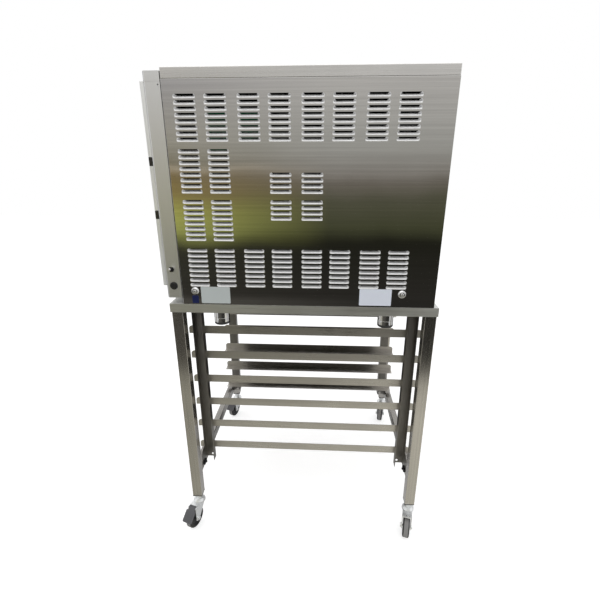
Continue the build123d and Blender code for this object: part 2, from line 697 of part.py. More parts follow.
def front_surround():
    """Folded front section with the cavity's mouth and the collar that meets the liner."""
    x = (-BODY_X, CONTROL_LEFT)
    y = (FRONT_FACE, BODY_FRONT - SEAM_GAP)
    z = (FRONT_Z, FRONT_TOP)
    edge = rim(x, y, z, SHEET, "Y")
    face = block(x, (FRONT_FACE, FRONT_FACE + SHEET), z)
    collar = block(grown(CAVITY_X, SHEET), (FRONT_FACE, BODY_FRONT), grown(CAVITY_Z, SHEET))
    mouth = block(CAVITY_X, (FRONT_FACE - 1, BODY_FRONT + 1), CAVITY_Z)
    return edge + [face, collar] - mouth


def control_fascia():
    """Folded control box beside the door, with holes for the knobs, toggle and button."""
    x = (CONTROL_LEFT, BODY_X)
    y = (FRONT_FACE, BODY_FRONT - SEAM_GAP)
    z = (FRONT_Z, FRONT_TOP)
    outer = block(x, y, z)
    corner = outer.edges().filter_by(Axis.Z).sort_by(lambda edge: edge.center().X - edge.center().Y)[-1]
    outer = fillet(corner, min(CONTROL_CORNER_R, FRONT_D / 4))
    inner = block(grown(x, -SHEET), (y[0] + SHEET, y[1] + 1), grown(z, -SHEET))
    fascia = outer - inner
    for axis in KNOB_AXES:
        fascia -= bar("Y", (y[0] - 1, y[0] + SHEET + 1), axis, KNOB_SHAFT_R + HOLE_FIT)
    side = (BODY_X - SHEET - 1, BODY_X + 1)
    fascia -= bar("X", side, TOGGLE_AXIS, TOGGLE_BUSH_R + HOLE_FIT)
    fascia -= bar("X", side, BUTTON_AXIS, BUTTON_R + HOLE_FIT)
    return fascia


def panel_screws():
    """Domed cup-washer screws on both side panels."""
    screws = []
    for along, up in CUP_SCREW_PLACES:
        centre = (BODY_FRONT + along, BODY_Z + up)
        dome = Pos(BODY_X + CUP_SCREW_H / 2, *centre) * Rot(0, 90, 0) * Cone(
            CUP_SCREW_R, CUP_SCREW_R * 0.55, CUP_SCREW_H)
        head = bar("X", (BODY_X + CUP_SCREW_H, BODY_X + CUP_SCREW_H * 1.4), centre, CUP_SCREW_R * 0.4)
        screw = dome + head
        screws += [screw, mirrored(screw)]
    return screws


def blank_plates():
    """Thin blank plates on the right side panel."""
    plates = []
    for along, up in (FRONT_PLATE, REAR_PLATE, TAG_PLATE):
        y = (BODY_FRONT + along[0], BODY_FRONT + along[1])
        z = (BODY_Z + up[0], BODY_Z + up[1])
        plates.append(block((BODY_X, BODY_X + PLATE_T), y, z))
    return plates


def foot_places():
    """X and Y of the four feet."""
    return [(x, y) for x in (-FOOT_X, FOOT_X) for y in (-FOOT_Y, FOOT_Y)]


def foot_tubes():
    """Polished foot tubes under the base."""
    return [pipe("Z", (BODY_Z - FOOT_H + PAD_H, BODY_Z), place, FOOT_R, FOOT_WALL) for place in foot_places()]


def foot_pads():
    """Pads under the foot tubes, each with a spigot inside its tube."""
    bottom = BODY_Z - FOOT_H
    pads = []
    for place in foot_places():
        pad = bar("Z", (bottom, bottom + PAD_H), place, FOOT_R)
        pads.append(pad + bar("Z", (bottom + PAD_H, bottom + 3 * PAD_H), place, FOOT_R - FOOT_WALL - FREE_GAP))
    return pads


# Cavity and what is around it

def element_legs(clearance):
    """Round bars through the cavity wall and partition, one for each leg of the element."""
    legs = []
    wall = CAVITY_X[1]
    for number, radius in enumerate(ELEMENT_RING_RADII):
        ring_x = wall - ELEMENT_BACK_GAP - number * ELEMENT_RING_STEP
        for side in (-1, 1):
            angle = math.radians(-90 + 30 * number + side * ELEMENT_LEG_SPREAD / 2)
            place = (FAN_Y + radius * math.cos(angle), FAN_Z + radius * math.sin(angle))
            legs.append(bar("X", (ring_x, PARTITION_RIGHT + ELEMENT_LEG_OUT), place, ELEMENT_LEG_R + clearance))
    return legs


def lamp_place():
    """X and Z of the lamp in the cavity's back wall."""
    return (CAVITY_X[0] + LAMP_X, CAVITY_Z[1] - LAMP_Z)


def cavity_liner():
    """Five sheets welded to an open-fronted box, with holes for the fan shaft, element, lamp and vent."""
    x = (CAVITY_X[0] - LINER_T, LINER_RIGHT)
    y = (CAVITY_Y[0], CAVITY_Y[1] + LINER_T)
    floor = block(x, y, (CAVITY_Z[0] - LINER_T, CAVITY_Z[0]))
    roof = block(x, y, (CAVITY_Z[1], CAVITY_Z[1] + LINER_T))
    roof -= bar("Z", grown((CAVITY_Z[1], CAVITY_Z[1] + LINER_T), 1), vent_place(), VENT_R - VENT_WALL)
    left = block((x[0], CAVITY_X[0]), y, CAVITY_Z)
    right = block((CAVITY_X[1], x[1]), y, CAVITY_Z)
    right -= bar("X", grown((CAVITY_X[1], x[1]), 1), (FAN_Y, FAN_Z), SHAFT_HOLE_R)
    right -= element_legs(HOLE_FIT)
    back = block(CAVITY_X, (CAVITY_Y[1], y[1]), CAVITY_Z)
    back -= bar("Y", grown((CAVITY_Y[1], y[1]), 1), lamp_place(), LAMP_R + HOLE_FIT)
    return [floor, roof, left, right, back]


def insulation():
    """Insulation blanket around the liner."""
    liner_x = grown(CAVITY_X, LINER_T)
    liner_y = (CAVITY_Y[0], CAVITY_Y[1] + LINER_T)
    liner_z = grown(CAVITY_Z, LINER_T)
    outer_y = (BODY_FRONT + SHEET + FREE_GAP, liner_y[1] + INSULATION_T)
    outer = block(grown(liner_x, INSULATION_T), outer_y, grown(liner_z, INSULATION_T))
    wool = outer - block(liner_x, liner_y, liner_z)
    wool -= bar("X", grown((LINER_RIGHT, PARTITION_X), 1), (FAN_Y, FAN_Z), SHAFT_HOLE_R)
    wool -= element_legs(HOLE_FIT)
    wool -= bar("Y", (liner_y[1] - 1, outer_y[1] + 1), lamp_place(), LAMP_R + HOLE_FIT)
    wool -= bar("Z", (liner_z[1] - 1, liner_z[1] + INSULATION_T + 1), vent_place(), VENT_FLANGE_R + HOLE_FIT)
    return wool


def control_partition():
    """Wall between the insulated cavity and the electrical compartment."""
    y = (BODY_FRONT + SHEET, BODY_BACK - SHEET)
    sheet = block((PARTITION_X, PARTITION_RIGHT), y, (BODY_Z + SHEET, BODY_TOP - SHEET))
    sheet -= bar("X", grown((PARTITION_X, PARTITION_RIGHT), 1), (FAN_Y, FAN_Z), SHAFT_HOLE_R)
    return sheet - element_legs(HOLE_FIT)


def fan_baffle():
    """Perforated plate in front of the fan, with folded edges that reach the cavity wall."""
    y = grown(CAVITY_Y, -BAFFLE_END_GAP)
    z = grown(CAVITY_Z, -BAFFLE_EDGE_GAP)
    plate = block((BAFFLE_X, BAFFLE_X + BAFFLE_T), y, z)
    flange_x = (BAFFLE_X, CAVITY_X[1])
    lower = block(flange_x, y, (z[0], z[0] + BAFFLE_T))
    upper = block(flange_x, y, (z[1] - BAFFLE_T, z[1]))
    span = grown((BAFFLE_X, BAFFLE_X + BAFFLE_T), 1)
    holes = [bar("X", span, (FAN_Y, FAN_Z), INTAKE_HOLE_R)]
    for ring in range(1, INTAKE_RINGS + 1):
        count = 6 * ring
        for number in range(count):
            angle = 2 * math.pi * number / count
            radius = ring * INTAKE_RING_STEP
            place = (FAN_Y + radius * math.cos(angle), FAN_Z + radius * math.sin(angle))
            holes.append(bar("X", span, place, INTAKE_HOLE_R))
    return plate + [lower, upper] - holes


def fan_motor():
    """Motor on a square flange, bored for its shaft."""
    centre = (FAN_Y, FAN_Z)
    half = MOTOR_FLANGE / 2
    flange_x = (PARTITION_RIGHT, PARTITION_RIGHT + MOTOR_FLANGE_T)
    flange = block(flange_x, (FAN_Y - half, FAN_Y + half), (FAN_Z - half / 1.3, FAN_Z + half / 1.3))
    can = bar("X", (flange_x[1], flange_x[1] + MOTOR_L), centre, MOTOR_R)
    cap = bar("X", (flange_x[1] + MOTOR_L, flange_x[1] + MOTOR_L + 8.0), centre, MOTOR_R * 0.75)
    bore = bar("X", (PARTITION_RIGHT - 1, PARTITION_RIGHT + BEARING_L + FREE_GAP), centre, SHAFT_R + RUN_FIT)
    return flange + [can, cap] - bore


def fan_wheel():
    """Impeller with radial blades, and the motor shaft with its nut."""
    centre = (FAN_Y, FAN_Z)
    front = FAN_BACK - FAN_W
    wheel = bar("X", (FAN_BACK - FAN_DISC_T, FAN_BACK), centre, FAN_R)
    hub_x = (FAN_BACK - FAN_HUB_L, FAN_BACK)
    wheel += bar("X", hub_x, centre, FAN_HUB_R)
    wheel += pipe("X", (front, front + FAN_DISC_T), centre, FAN_R, BLADE_DEPTH)
    blade_z = grown((FAN_R - BLADE_DEPTH, FAN_R), -1.0)
    blade = block((front + FAN_DISC_T / 2, FAN_BACK - FAN_DISC_T / 2), (-BLADE_T / 2, BLADE_T / 2), blade_z)
    blades = [Pos(0, *centre) * Rot(360 * number / BLADE_COUNT, 0, 0) * blade for number in range(BLADE_COUNT)]
    wheel = wheel + blades - bar("X", grown(hub_x, 1), centre, SHAFT_R + RUN_FIT)
    shaft = bar("X", (hub_x[0] - SHAFT_NUT_H, PARTITION_RIGHT + BEARING_L), centre, SHAFT_R)
    nut = bar("X", (hub_x[0] - SHAFT_NUT_H, hub_x[0]), centre, SHAFT_NUT_R)
    return [wheel, shaft + nut]


def heating_element():
    """Two ring-shaped rods around the fan, each with a pair of legs."""
    rings = []
    legs = element_legs(0)
    for number, radius in enumerate(ELEMENT_RING_RADII):
        ring_x = CAVITY_X[1] - ELEMENT_BACK_GAP - number * ELEMENT_RING_STEP
        ring = Pos(ring_x, FAN_Y, FAN_Z) * Rot(0, 90, 0) * Torus(radius, ELEMENT_ROD_R)
        rings.append(ring + legs[2 * number:2 * number + 2])
    return rings


def shelf_ledge_z(number):
    """Height of the top of a shelf ledge, counted from the bottom."""
    return CAVITY_Z[0] + SHELF_FIRST + number * SHELF_PITCH


def ladder(wall_x, inward):
    """Shelf support against a wall: two upright bars, and a ledge on them for each shelf."""
    bar_x = sorted((wall_x, wall_x + inward * LADDER_BAR_T))
    ledge_x = sorted((wall_x + inward * LADDER_BAR_T, wall_x + inward * LADDER_LEDGE_W))
    z = (CAVITY_Z[0], CAVITY_Z[1] - LADDER_TOP_GAP)
    y = (CAVITY_Y[0] + LADDER_END_GAP, CAVITY_Y[1] - BAFFLE_END_GAP)
    bars = []
    for middle in (y[0] + LADDER_BAR_INSET, y[1] - LADDER_BAR_INSET):
        bars.append(block(bar_x, (middle - LADDER_BAR_W / 2, middle + LADDER_BAR_W / 2), z))
    for number in range(SHELF_COUNT):
        top = shelf_ledge_z(number)
        bars.append(block(ledge_x, y, (top - LADDER_LEDGE_T, top)))
    return bars


def wire_shelf():
    """Lowest shelf: a rod frame with cross wires, lying on its pair of ledges."""
    z = shelf_ledge_z(0) + SHELF_ROD_R + FREE_GAP
    x = grown(SHELF_X, -SHELF_SIDE_R)
    y = (SHELF_FRONT + SHELF_ROD_R, SHELF_BACK - SHELF_ROD_R)
    rods = [bar("Y", grown(y, SHELF_ROD_END), (side, z), SHELF_SIDE_R) for side in x]
    rods += [bar("X", grown(x, SHELF_ROD_END), (end, z), SHELF_ROD_R) for end in (*y, sum(y) / 2)]
    step = (x[1] - x[0]) / (SHELF_WIRES + 1)
    for wire in range(1, SHELF_WIRES + 1):
        rods.append(bar("Y", grown(y, -SHELF_WIRE_R), (x[0] + wire * step, z), SHELF_WIRE_R))
    return rods[0] + rods[1:]


def oven_lamp():
    """Lamp can through the back wall, with a rim and a domed lens inside the cavity."""
    wall = CAVITY_Y[1]
    can = bar("Y", (wall, wall + LINER_T + INSULATION_T), lamp_place(), LAMP_R)
    seat = bar("Y", (wall - LAMP_RIM_T, wall), lamp_place(), LAMP_R + LAMP_RIM)
    x, z = lamp_place()
    lens = Pos(x, wall - LAMP_RIM_T - LENS_RISE / 2, z) * Rot(90, 0, 0) * Cone(LAMP_R, LAMP_R * 0.7, LENS_RISE)
    return [can + seat, lens]


def vent_pipe():
    """Steam vent from the cavity's roof, with a collar that fills its hole in the cover."""
    bottom = CAVITY_Z[1] + LINER_T
    vent = pipe("Z", (bottom, BODY_TOP + VENT_RISE), vent_place(), VENT_R, VENT_WALL)
    flange = bar("Z", (bottom, bottom + VENT_FLANGE_T), vent_place(), VENT_FLANGE_R)
    collar = bar("Z", (BODY_TOP - SHEET, BODY_TOP + VENT_FLANGE_T), vent_place(), VENT_FLANGE_R)
    bore = bar("Z", (bottom - 1, BODY_TOP + VENT_RISE + 1), vent_place(), VENT_R - VENT_WALL)
    return vent + [flange, collar] - bore


def cable_gland():
    """Gland for the supply cable in the back panel, with its inside nut."""
    centre = (BODY_X - GLAND_X, BODY_Z + GLAND_Z)
    inner = BODY_BACK - SHEET - GLAND_NUT_L
    body = bar("Y", (inner, BODY_BACK + GLAND_HEAD_L), centre, GLAND_R)
    head = bar("Y", (BODY_BACK, BODY_BACK + GLAND_HEAD_L), centre, GLAND_HEAD_R)
    nut = bar("Y", (inner, BODY_BACK - SHEET), centre, GLAND_HEAD_R)
    bore = bar("Y", (inner - 1, BODY_BACK + GLAND_HEAD_L + 1), centre, GLAND_BORE_R)
    return body + [head, nut] - bore


def control_board():
    """Circuit board on four standoffs with its relays."""
    x = PARTITION_RIGHT + BOARD_STANDOFF
    y = (BOARD_Y - BOARD_SIZE[0] / 2, BOARD_Y + BOARD_SIZE[0] / 2)
    z = (BODY_Z + BOARD_Z - BOARD_SIZE[1] / 2, BODY_Z + BOARD_Z + BOARD_SIZE[1] / 2)
    board = block((x, x + BOARD_T), y, z)
    inset = 3 * BOARD_STANDOFF_R
    for end in grown(y, -inset):
        for level in grown(z, -inset):
            board += bar("X", (PARTITION_RIGHT, x), (end, level), BOARD_STANDOFF_R)
    pitch = BOARD_SIZE[0] / 5
    for number in range(4):
        start = y[0] + (number + 0.7) * pitch
        relay_z = (z[0] + BOARD_SIZE[1] * 0.3, z[0] + BOARD_SIZE[1] * 0.6)
        board += block((x + BOARD_T, x + BOARD_T + 18.0), (start, start + pitch * 0.7), relay_z)
    return board


def terminal_block():
    """Supply terminals and contactor on the partition."""
    x = (PARTITION_RIGHT, PARTITION_RIGHT + TERMINAL_SIZE[0])
    y = (TERMINAL_Y - TERMINAL_SIZE[1] / 2, TERMINAL_Y + TERMINAL_SIZE[1] / 2)
    z = (BODY_Z + TERMINAL_Z, BODY_Z + TERMINAL_Z + TERMINAL_SIZE[2])
    body = block(x, y, z)
    pitch = TERMINAL_SIZE[1] / TERMINAL_WAYS
    for way in range(TERMINAL_WAYS):
        centre = (y[0] + (way + 0.5) * pitch, sum(z) / 2)
        body -= bar("X", (x[1] - 8.0, x[1] + 1), centre, pitch * 0.3)
    return body


# Door

def window(margin):
    """X and Z limits of the door's window, widened by a margin."""
    return grown(grown(DOOR_X, -WINDOW_SIDE), margin), grown(grown(DOOR_Z, -WINDOW_END), margin)


def door_frame():
    """Outer door shell: edges, front skin with its window and the two hinge blocks."""
    y = (DOOR_FACE, DOOR_BACK - DOOR_SKIN)
    shell = rim(DOOR_X, y, DOOR_Z, DOOR_SKIN, "Y")
    face = block(DOOR_X, (DOOR_FACE, DOOR_FACE + DOOR_SKIN), DOOR_Z)
    view_x, view_z = window(0)
    face -= block(view_x, (DOOR_FACE - 1, DOOR_FACE + DOOR_SKIN + 1), view_z)
    block_x = (DOOR_X[0] + DOOR_SKIN / 2, DOOR_X[0] + HINGE_BLOCK_W)
    block_y = (DOOR_FACE + DOOR_SKIN / 2, y[1])
    blocks = []
    bores = []
    for level, inward in ((DOOR_Z[0], 1), (DOOR_Z[1], -1)):
        height = sorted((level, level + inward * HINGE_BLOCK_H))
        blocks.append(block(block_x, block_y, height))
        bores.append(bar("Z", grown(height, 1), HINGE_AXIS, HINGE_PIN_R + RUN_FIT))
    return shell + [face, *blocks] - bores


def door_pane(outside):
    """Glass behind the window of one skin, lapping its edge."""
    view_x, view_z = window(GLASS_LAP)
    if outside:
        y = (DOOR_FACE + DOOR_SKIN, DOOR_FACE + DOOR_SKIN + GLASS_T)
    else:
        y = (DOOR_BACK - DOOR_SKIN - GLASS_T, DOOR_BACK - DOOR_SKIN)
    return block(view_x, y, view_z)


def door_inner_frame():
    """Back skin of the door with the inner window."""
    view_x, view_z = window(0)
    skin = block(DOOR_X, (DOOR_BACK - DOOR_SKIN, DOOR_BACK), DOOR_Z)
    return skin - block(view_x, (DOOR_BACK - DOOR_SKIN - 1, DOOR_BACK + 1), view_z)


def door_gasket():
    """Seal around the cavity's mouth, carried by the door."""
    x = grown(CAVITY_X, GASKET_OUT + GASKET_W)
    z = grown(CAVITY_Z, GASKET_OUT + GASKET_W)
    return rim(x, (DOOR_BACK, FRONT_FACE - FREE_GAP), z, GASKET_W, "Y")


def door_handle():
    """Full-height handle along the door's free edge, open towards the hinge for the fingers."""
    right = DOOR_X[1] + HANDLE_T
    front = DOOR_FACE - HANDLE_OUT
    z = (FRONT_Z, FRONT_TOP)
    edge = block((DOOR_X[1], right), (front, DOOR_BACK), z)
    grip = block((right - HANDLE_W, right), (front, front + HANDLE_FRONT_T), z)
    handle = edge + grip
    corner = handle.edges().filter_by(Axis.Z).sort_by(lambda item: item.center().X - item.center().Y)[-1]
    return fillet(corner, min(HANDLE_CORNER_R, HANDLE_T * 0.7))


def door_hinge_brackets():
    """Plates above and below the door, each with a pin that enters the door."""
    x = (-BODY_X, -BODY_X + HINGE_PLATE_W)
    y = (FRONT_FACE - HINGE_PLATE_D, FRONT_FACE)
    brackets = []
    for level, inward in ((DOOR_Z[0] - FREE_GAP, 1), (DOOR_Z[1] + FREE_GAP, -1)):
        plate = block(x, y, sorted((level, level - inward * HINGE_PLATE_T)))
        brackets.append(plate + bar("Z", sorted((level, level + inward * HINGE_PIN_L)), HINGE_AXIS, HINGE_PIN_R))
    return brackets


def door_catch():
    """Magnetic catch on the front section, beside the gasket."""
    x = (DOOR_X[1] - CATCH_SIZE[0] - 2.0, DOOR_X[1] - 2.0)
    middle = FRONT_Z + CATCH_Z
    z = (middle - CATCH_SIZE[1] / 2, middle + CATCH_SIZE[1] / 2)
    return block(x, (DOOR_BACK + FREE_GAP, FRONT_FACE), z)


# Controls

def knob(axis):
    """Knob with a finger grip on its shaft."""
    x, z = axis
    y = (FRONT_FACE - KNOB_L - 1.0, FRONT_FACE - 1.0)
    body = bar("Y", y, axis, KNOB_R)
    body = fillet(body.edges().sort_by(Axis.Y)[0], min(2.0, KNOB_R / 5))
    for side in (-1, 1):
        cut_x = sorted((x + side * KNOB_R * 0.42, x + side * (KNOB_R + 1)))
        body -= block(cut_x, (y[0] - 1, y[0] + KNOB_GRIP_DEPTH), (z - KNOB_R, z + KNOB_R))
    return body + bar("Y", (y[1] - 1, y[1] + KNOB_SHAFT_L), axis, KNOB_SHAFT_R)


def switch_bodies():
    """Bodies behind the controls: two rotary switches, the toggle switch and the button's housing."""
    bodies = []
    inside = FRONT_FACE + SHEET
    for x, z in KNOB_AXES:
        half = SWITCH_SIDE / 2
        body = block((x - half, x + half), (inside, inside + SWITCH_D), (z - half, z + half))
        bodies.append(body - bar("Y", (inside - 1, inside + SWITCH_D + 1), (x, z), KNOB_SHAFT_R + RUN_FIT))
    wall = BODY_X - SHEET
    y, z = TOGGLE_AXIS
    depth, width, height = TOGGLE_BOX
    toggle = block((wall - depth, wall), (y - width / 2, y + width / 2), (z - height / 2, z + height / 2))
    toggle += bar("X", (wall, BODY_X + TOGGLE_BUSH_OUT), TOGGLE_AXIS, TOGGLE_BUSH_R)
    toggle += bar("X", (BODY_X, BODY_X + TOGGLE_NUT_H), TOGGLE_AXIS, TOGGLE_NUT_R)
    bore_x = (wall - depth / 2, BODY_X + TOGGLE_BUSH_OUT + 1)
    bodies.append(toggle - bar("X", bore_x, TOGGLE_AXIS, TOGGLE_BORE_R))
    cap_back = BODY_X + BUTTON_OUT - BUTTON_CAP_L
    back = cap_back - BUTTON_TRAVEL - FREE_GAP
    housing = bar("X", (back - BUTTON_HOUSING_BACK, wall), BUTTON_AXIS, BUTTON_HOUSING_R)
    housing -= bar("X", (back, wall + 1), BUTTON_AXIS, BUTTON_R + FREE_GAP)
    housing -= bar("X", (back - BUTTON_HOUSING_BACK - 1, back + 1), BUTTON_AXIS, BUTTON_STEM_R + RUN_FIT)
    bodies.append(housing)
    return bodies


def toggle_lever():
    """Toggle lever tilted up, with its pivot ball inside the bush."""
    pivot = Sphere(TOGGLE_BORE_R - RUN_FIT)
    rod = bar("X", (0, TOGGLE_LEVER_L), (0, 0), TOGGLE_ROD_R)
    lever = pivot + [rod, Pos(TOGGLE_LEVER_L, 0, 0) * Sphere(TOGGLE_BALL_R)]
    return Pos(TOGGLE_PIVOT_X, *TOGGLE_AXIS) * Rot(0, -TOGGLE_TILT, 0) * lever


def side_button():
    """Round push button on a stem."""
    front = BODY_X + BUTTON_OUT
    cap = bar("X", (front - BUTTON_CAP_L, front), BUTTON_AXIS, BUTTON_R)
    cap = fillet(cap.edges().sort_by(Axis.X)[-1], min(1.5, BUTTON_OUT / 2))
    stem_x = (front - BUTTON_CAP_L - BUTTON_STEM_L, front - BUTTON_CAP_L)
    return cap + bar("X", stem_x, BUTTON_AXIS, BUTTON_STEM_R)


def all_pieces():
    """Every node's solids by name, in the working frame."""
    rack = tray_rack()
    pieces = {
        "stand_top_frame": stand_top_frame(),
        "stand_legs": stand_legs(),
        "lower_cross_rails": lower_cross_rails(),
        "tray_rack_right": rack,
        "tray_rack_left": [mirrored(piece) for piece in rack],
        "rack_fixings": rack_fixings(),
        "leg_plugs": [at_castor(leg_plug(), (x, y, 0)) for x, y, _ in CASTORS.values()],
        "castor_stems": [at_castor(castor_stem(), (x, y, 0)) for x, y, _ in CASTORS.values()],
        "base_pan": [base_pan()],
        "right_side_panel": [right_side_panel()],
        "left_side_panel": [mirrored(side_panel())],
        "back_panel": [back_panel()],
        "top_cover": [top_cover()],
        "front_surround": [front_surround()],
        "control_fascia": [control_fascia()],
        "panel_screws": panel_screws(),
        "blank_plates": blank_plates(),
        "foot_tubes": foot_tubes(),
        "foot_pads": foot_pads(),
        "cavity_liner": cavity_liner(),
        "insulation": [insulation()],
        "control_partition": [control_partition()],
        "fan_baffle": [fan_baffle()],
        "fan_motor": [fan_motor()],
        "fan_wheel": fan_wheel(),
        "heating_element": heating_element(),
        "shelf_support_left": ladder(CAVITY_X[0], 1),
        "shelf_support_right": ladder(BAFFLE_X, -1),
        "oven_lamp": oven_lamp(),
        "vent_pipe": [vent_pipe()],
        "cable_gland": [cable_gland()],
        "control_board": [control_board()],
        "terminal_block": [terminal_block()],
        "door_frame": [door_frame()],
        "door_inner_frame": [door_inner_frame()],
        "door_outer_glass": [door_pane(True)],
        "door_inner_glass": [door_pane(False)],
        "door_gasket": [door_gasket()],
        "door_handle": [door_handle()],
        "door_hinge_brackets": door_hinge_brackets(),
        "door_catch": [door_catch()],
        "switch_bodies": switch_bodies(),
        "thermostat_knob": [knob(KNOB_AXES[0])],
        "timer_knob": [knob(KNOB_AXES[1])],
        "toggle_lever": [toggle_lever()],
        "side_button": [side_button()],
    }
    shelf = wire_shelf()
    for number in range(SHELF_COUNT):
        pieces[f"wire_shelf_{number + 1}"] = [Pos(0, 0, number * SHELF_PITCH) * shelf]
    for name, place in CASTORS.items():
        fork = castor_fork(name in BRAKED)
        pieces[f"castor_fork_{name}"] = [at_castor(piece, place) for piece in fork]
        pieces[f"castor_wheel_{name}"] = [at_castor(piece, place) for piece in castor_wheel()]
    for name in BRAKED:
        pieces[f"brake_pedal_{name}"] = [at_castor(brake_pedal(), CASTORS[name])]
    return pieces


def export_origin(pieces):
    """Working-frame point under the middle of the whole object's box."""
    boxes = [solid.bounding_box() for solids in pieces.values() for solid in solids]
    low = [min(getattr(box.min, axis) for box in boxes) for axis in "XYZ"]
    high = [max(getattr(box.max, axis) for box in boxes) for axis in "XYZ"]
    return ((low[0] + high[0]) / 2, (low[1] + high[1]) / 2, low[2])


def main():
    os.makedirs("parts", exist_ok=True)
    pieces = all_pieces()
    shift = Pos(*[-value for value in export_origin(pieces)])
    for name, solids in pieces.items():
        moved = [shift * solid for solid in solids]
        export_step(moved[0] if len(moved) == 1 else Compound(moved), f"parts/{name}.step")


if __name__ == "__main__":
    main()
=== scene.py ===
import math
from contextlib import contextmanager

import bmesh
import bpy
from mathutils import Matrix, Vector


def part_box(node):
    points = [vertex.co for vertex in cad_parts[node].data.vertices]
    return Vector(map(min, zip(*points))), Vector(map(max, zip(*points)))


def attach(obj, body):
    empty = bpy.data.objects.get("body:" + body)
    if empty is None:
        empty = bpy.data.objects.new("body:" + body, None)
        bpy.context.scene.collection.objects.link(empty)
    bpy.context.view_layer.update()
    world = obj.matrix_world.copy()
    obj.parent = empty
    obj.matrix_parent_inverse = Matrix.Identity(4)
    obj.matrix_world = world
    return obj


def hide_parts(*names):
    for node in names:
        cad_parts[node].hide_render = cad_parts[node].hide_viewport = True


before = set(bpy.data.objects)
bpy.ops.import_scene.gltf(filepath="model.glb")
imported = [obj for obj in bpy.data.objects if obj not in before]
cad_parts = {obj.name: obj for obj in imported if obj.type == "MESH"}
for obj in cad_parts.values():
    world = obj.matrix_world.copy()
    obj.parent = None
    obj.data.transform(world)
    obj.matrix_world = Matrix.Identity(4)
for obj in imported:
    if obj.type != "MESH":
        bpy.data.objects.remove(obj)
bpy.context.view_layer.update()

bl_info = {
    "name": "Convection oven on a wheeled stand",
    "version": (1, 0, 0),
    "blender": (4, 5, 0),
    "location": "View3D > Sidebar > Oven",
    "description": "Models and finishes the shown pieces of the oven and its stand around the packed frame",
    "category": "Add Mesh",
}

MM = 0.001
STAND_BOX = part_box("stand_top_frame")
PANEL_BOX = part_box("right_side_panel")
COVER_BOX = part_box("top_cover")
STAND_MIDDLE = (STAND_BOX[0] + STAND_BOX[1]) / 2
BASE_Z = PANEL_BOX[0].z
ROOT = "oven_and_stand"


class OvenSizes(bpy.types.PropertyGroup):
    """Sizes of the details that the frame leaves open."""

    louvre_width: bpy.props.FloatProperty(
        name="Louvre width", description="Length of one pressed louvre", default=0.060, unit="LENGTH")
    louvre_height: bpy.props.FloatProperty(
        name="Louvre height", description="Height of one pressed louvre", default=0.0105, unit="LENGTH")
    louvre_tilt: bpy.props.FloatProperty(
        name="Louvre tilt", description="How far a louvre's blade is pressed in",
        default=math.radians(55.0), subtype="ANGLE")
    sheet: bpy.props.FloatProperty(
        name="Sheet", description="Thickness of the casing's sheet", default=0.0012, unit="LENGTH")
    tube_edge: bpy.props.FloatProperty(
        name="Tube edge", description="Corner radius of the stand's square tubes",
        default=0.0022, unit="LENGTH")
    sheet_edge: bpy.props.FloatProperty(
        name="Sheet edge", description="Radius of a folded sheet's edge", default=0.0008, unit="LENGTH")


class OvenColours(bpy.types.PropertyGroup):
    """Colours that a user would change."""

    casing: bpy.props.FloatVectorProperty(
        name="Casing steel", description="Stainless steel of the casing", default=(0.60, 0.59, 0.575),
        size=3, min=0.0, max=1.0, subtype="COLOR")
    front: bpy.props.FloatVectorProperty(
        name="Front steel", description="Satin steel of the front section and the door",
        default=(0.90, 0.905, 0.885), size=3, min=0.0, max=1.0, subtype="COLOR")
    stand: bpy.props.FloatVectorProperty(
        name="Stand steel", description="Stainless tube and angle of the stand", default=(0.55, 0.53, 0.50),
        size=3, min=0.0, max=1.0, subtype="COLOR")
    zinc: bpy.props.FloatVectorProperty(
        name="Zinc", description="Plated steel of the castors", default=(0.90, 0.915, 0.92),
        size=3, min=0.0, max=1.0, subtype="COLOR")
    tread: bpy.props.FloatVectorProperty(
        name="Tread", description="Rubber of the castors' treads", default=(0.27, 0.265, 0.26),
        size=3, min=0.0, max=1.0, subtype="COLOR")
    black: bpy.props.FloatVectorProperty(
        name="Black plastic", description="Knobs, button and plugs", default=(0.012, 0.012, 0.013),
        size=3, min=0.0, max=1.0, subtype="COLOR")


def sizes():
    """The user's sizes."""
    return bpy.context.scene.oven_sizes


def colours():
    """The user's colours."""
    return bpy.context.scene.oven_colours


# Working in object and edit mode

def place(x, y, z):
    """A point given in millimetres from the floor under the stand's middle."""
    return Vector((STAND_MIDDLE.x + x * MM, STAND_MIDDLE.y + y * MM, z * MM))


def active():
    """The piece that the last operator left active."""
    return bpy.context.view_layer.objects.active


def only(*pieces):
    """Select these pieces alone, the last one active."""
    bpy.ops.object.select_all(action="DESELECT")
    for piece in pieces:
        piece.select_set(True)
    bpy.context.view_layer.objects.active = pieces[-1]


def take_all():
    """In edit mode, select everything."""
    bpy.ops.mesh.select_all(action="SELECT")


def face_out():
    """In edit mode, turn every face outwards."""
    take_all()
    bpy.ops.mesh.normals_make_consistent(inside=False)


@contextmanager
def editing(piece):
    """Edit mode on one piece, with all of it selected."""
    only(piece)
    bpy.ops.object.mode_set(mode="EDIT")
    bpy.ops.mesh.select_mode(type="VERT")
    take_all()
    yield
    bpy.ops.object.mode_set(mode="OBJECT")


def choose(piece, kind, test):
    """In edit mode, select the vertices, edges or faces whose middle and direction pass a test."""
    bpy.ops.mesh.select_mode(type=kind)
    bpy.ops.mesh.select_all(action="DESELECT")
    mesh = bmesh.from_edit_mesh(piece.data)
    parts = {"VERT": mesh.verts, "EDGE": mesh.edges, "FACE": mesh.faces}[kind]
    for part in parts:
        if kind == "VERT":
            middle, way = part.co, part.normal
        elif kind == "EDGE":
            first, last = part.verts
            middle, way = (first.co + last.co) / 2, (last.co - first.co).normalized()
        else:
            middle, way = part.calc_center_median(), part.normal
        if test(middle, way):
            part.select_set(True)
    mesh.select_flush_mode()
    bmesh.update_edit_mesh(piece.data)


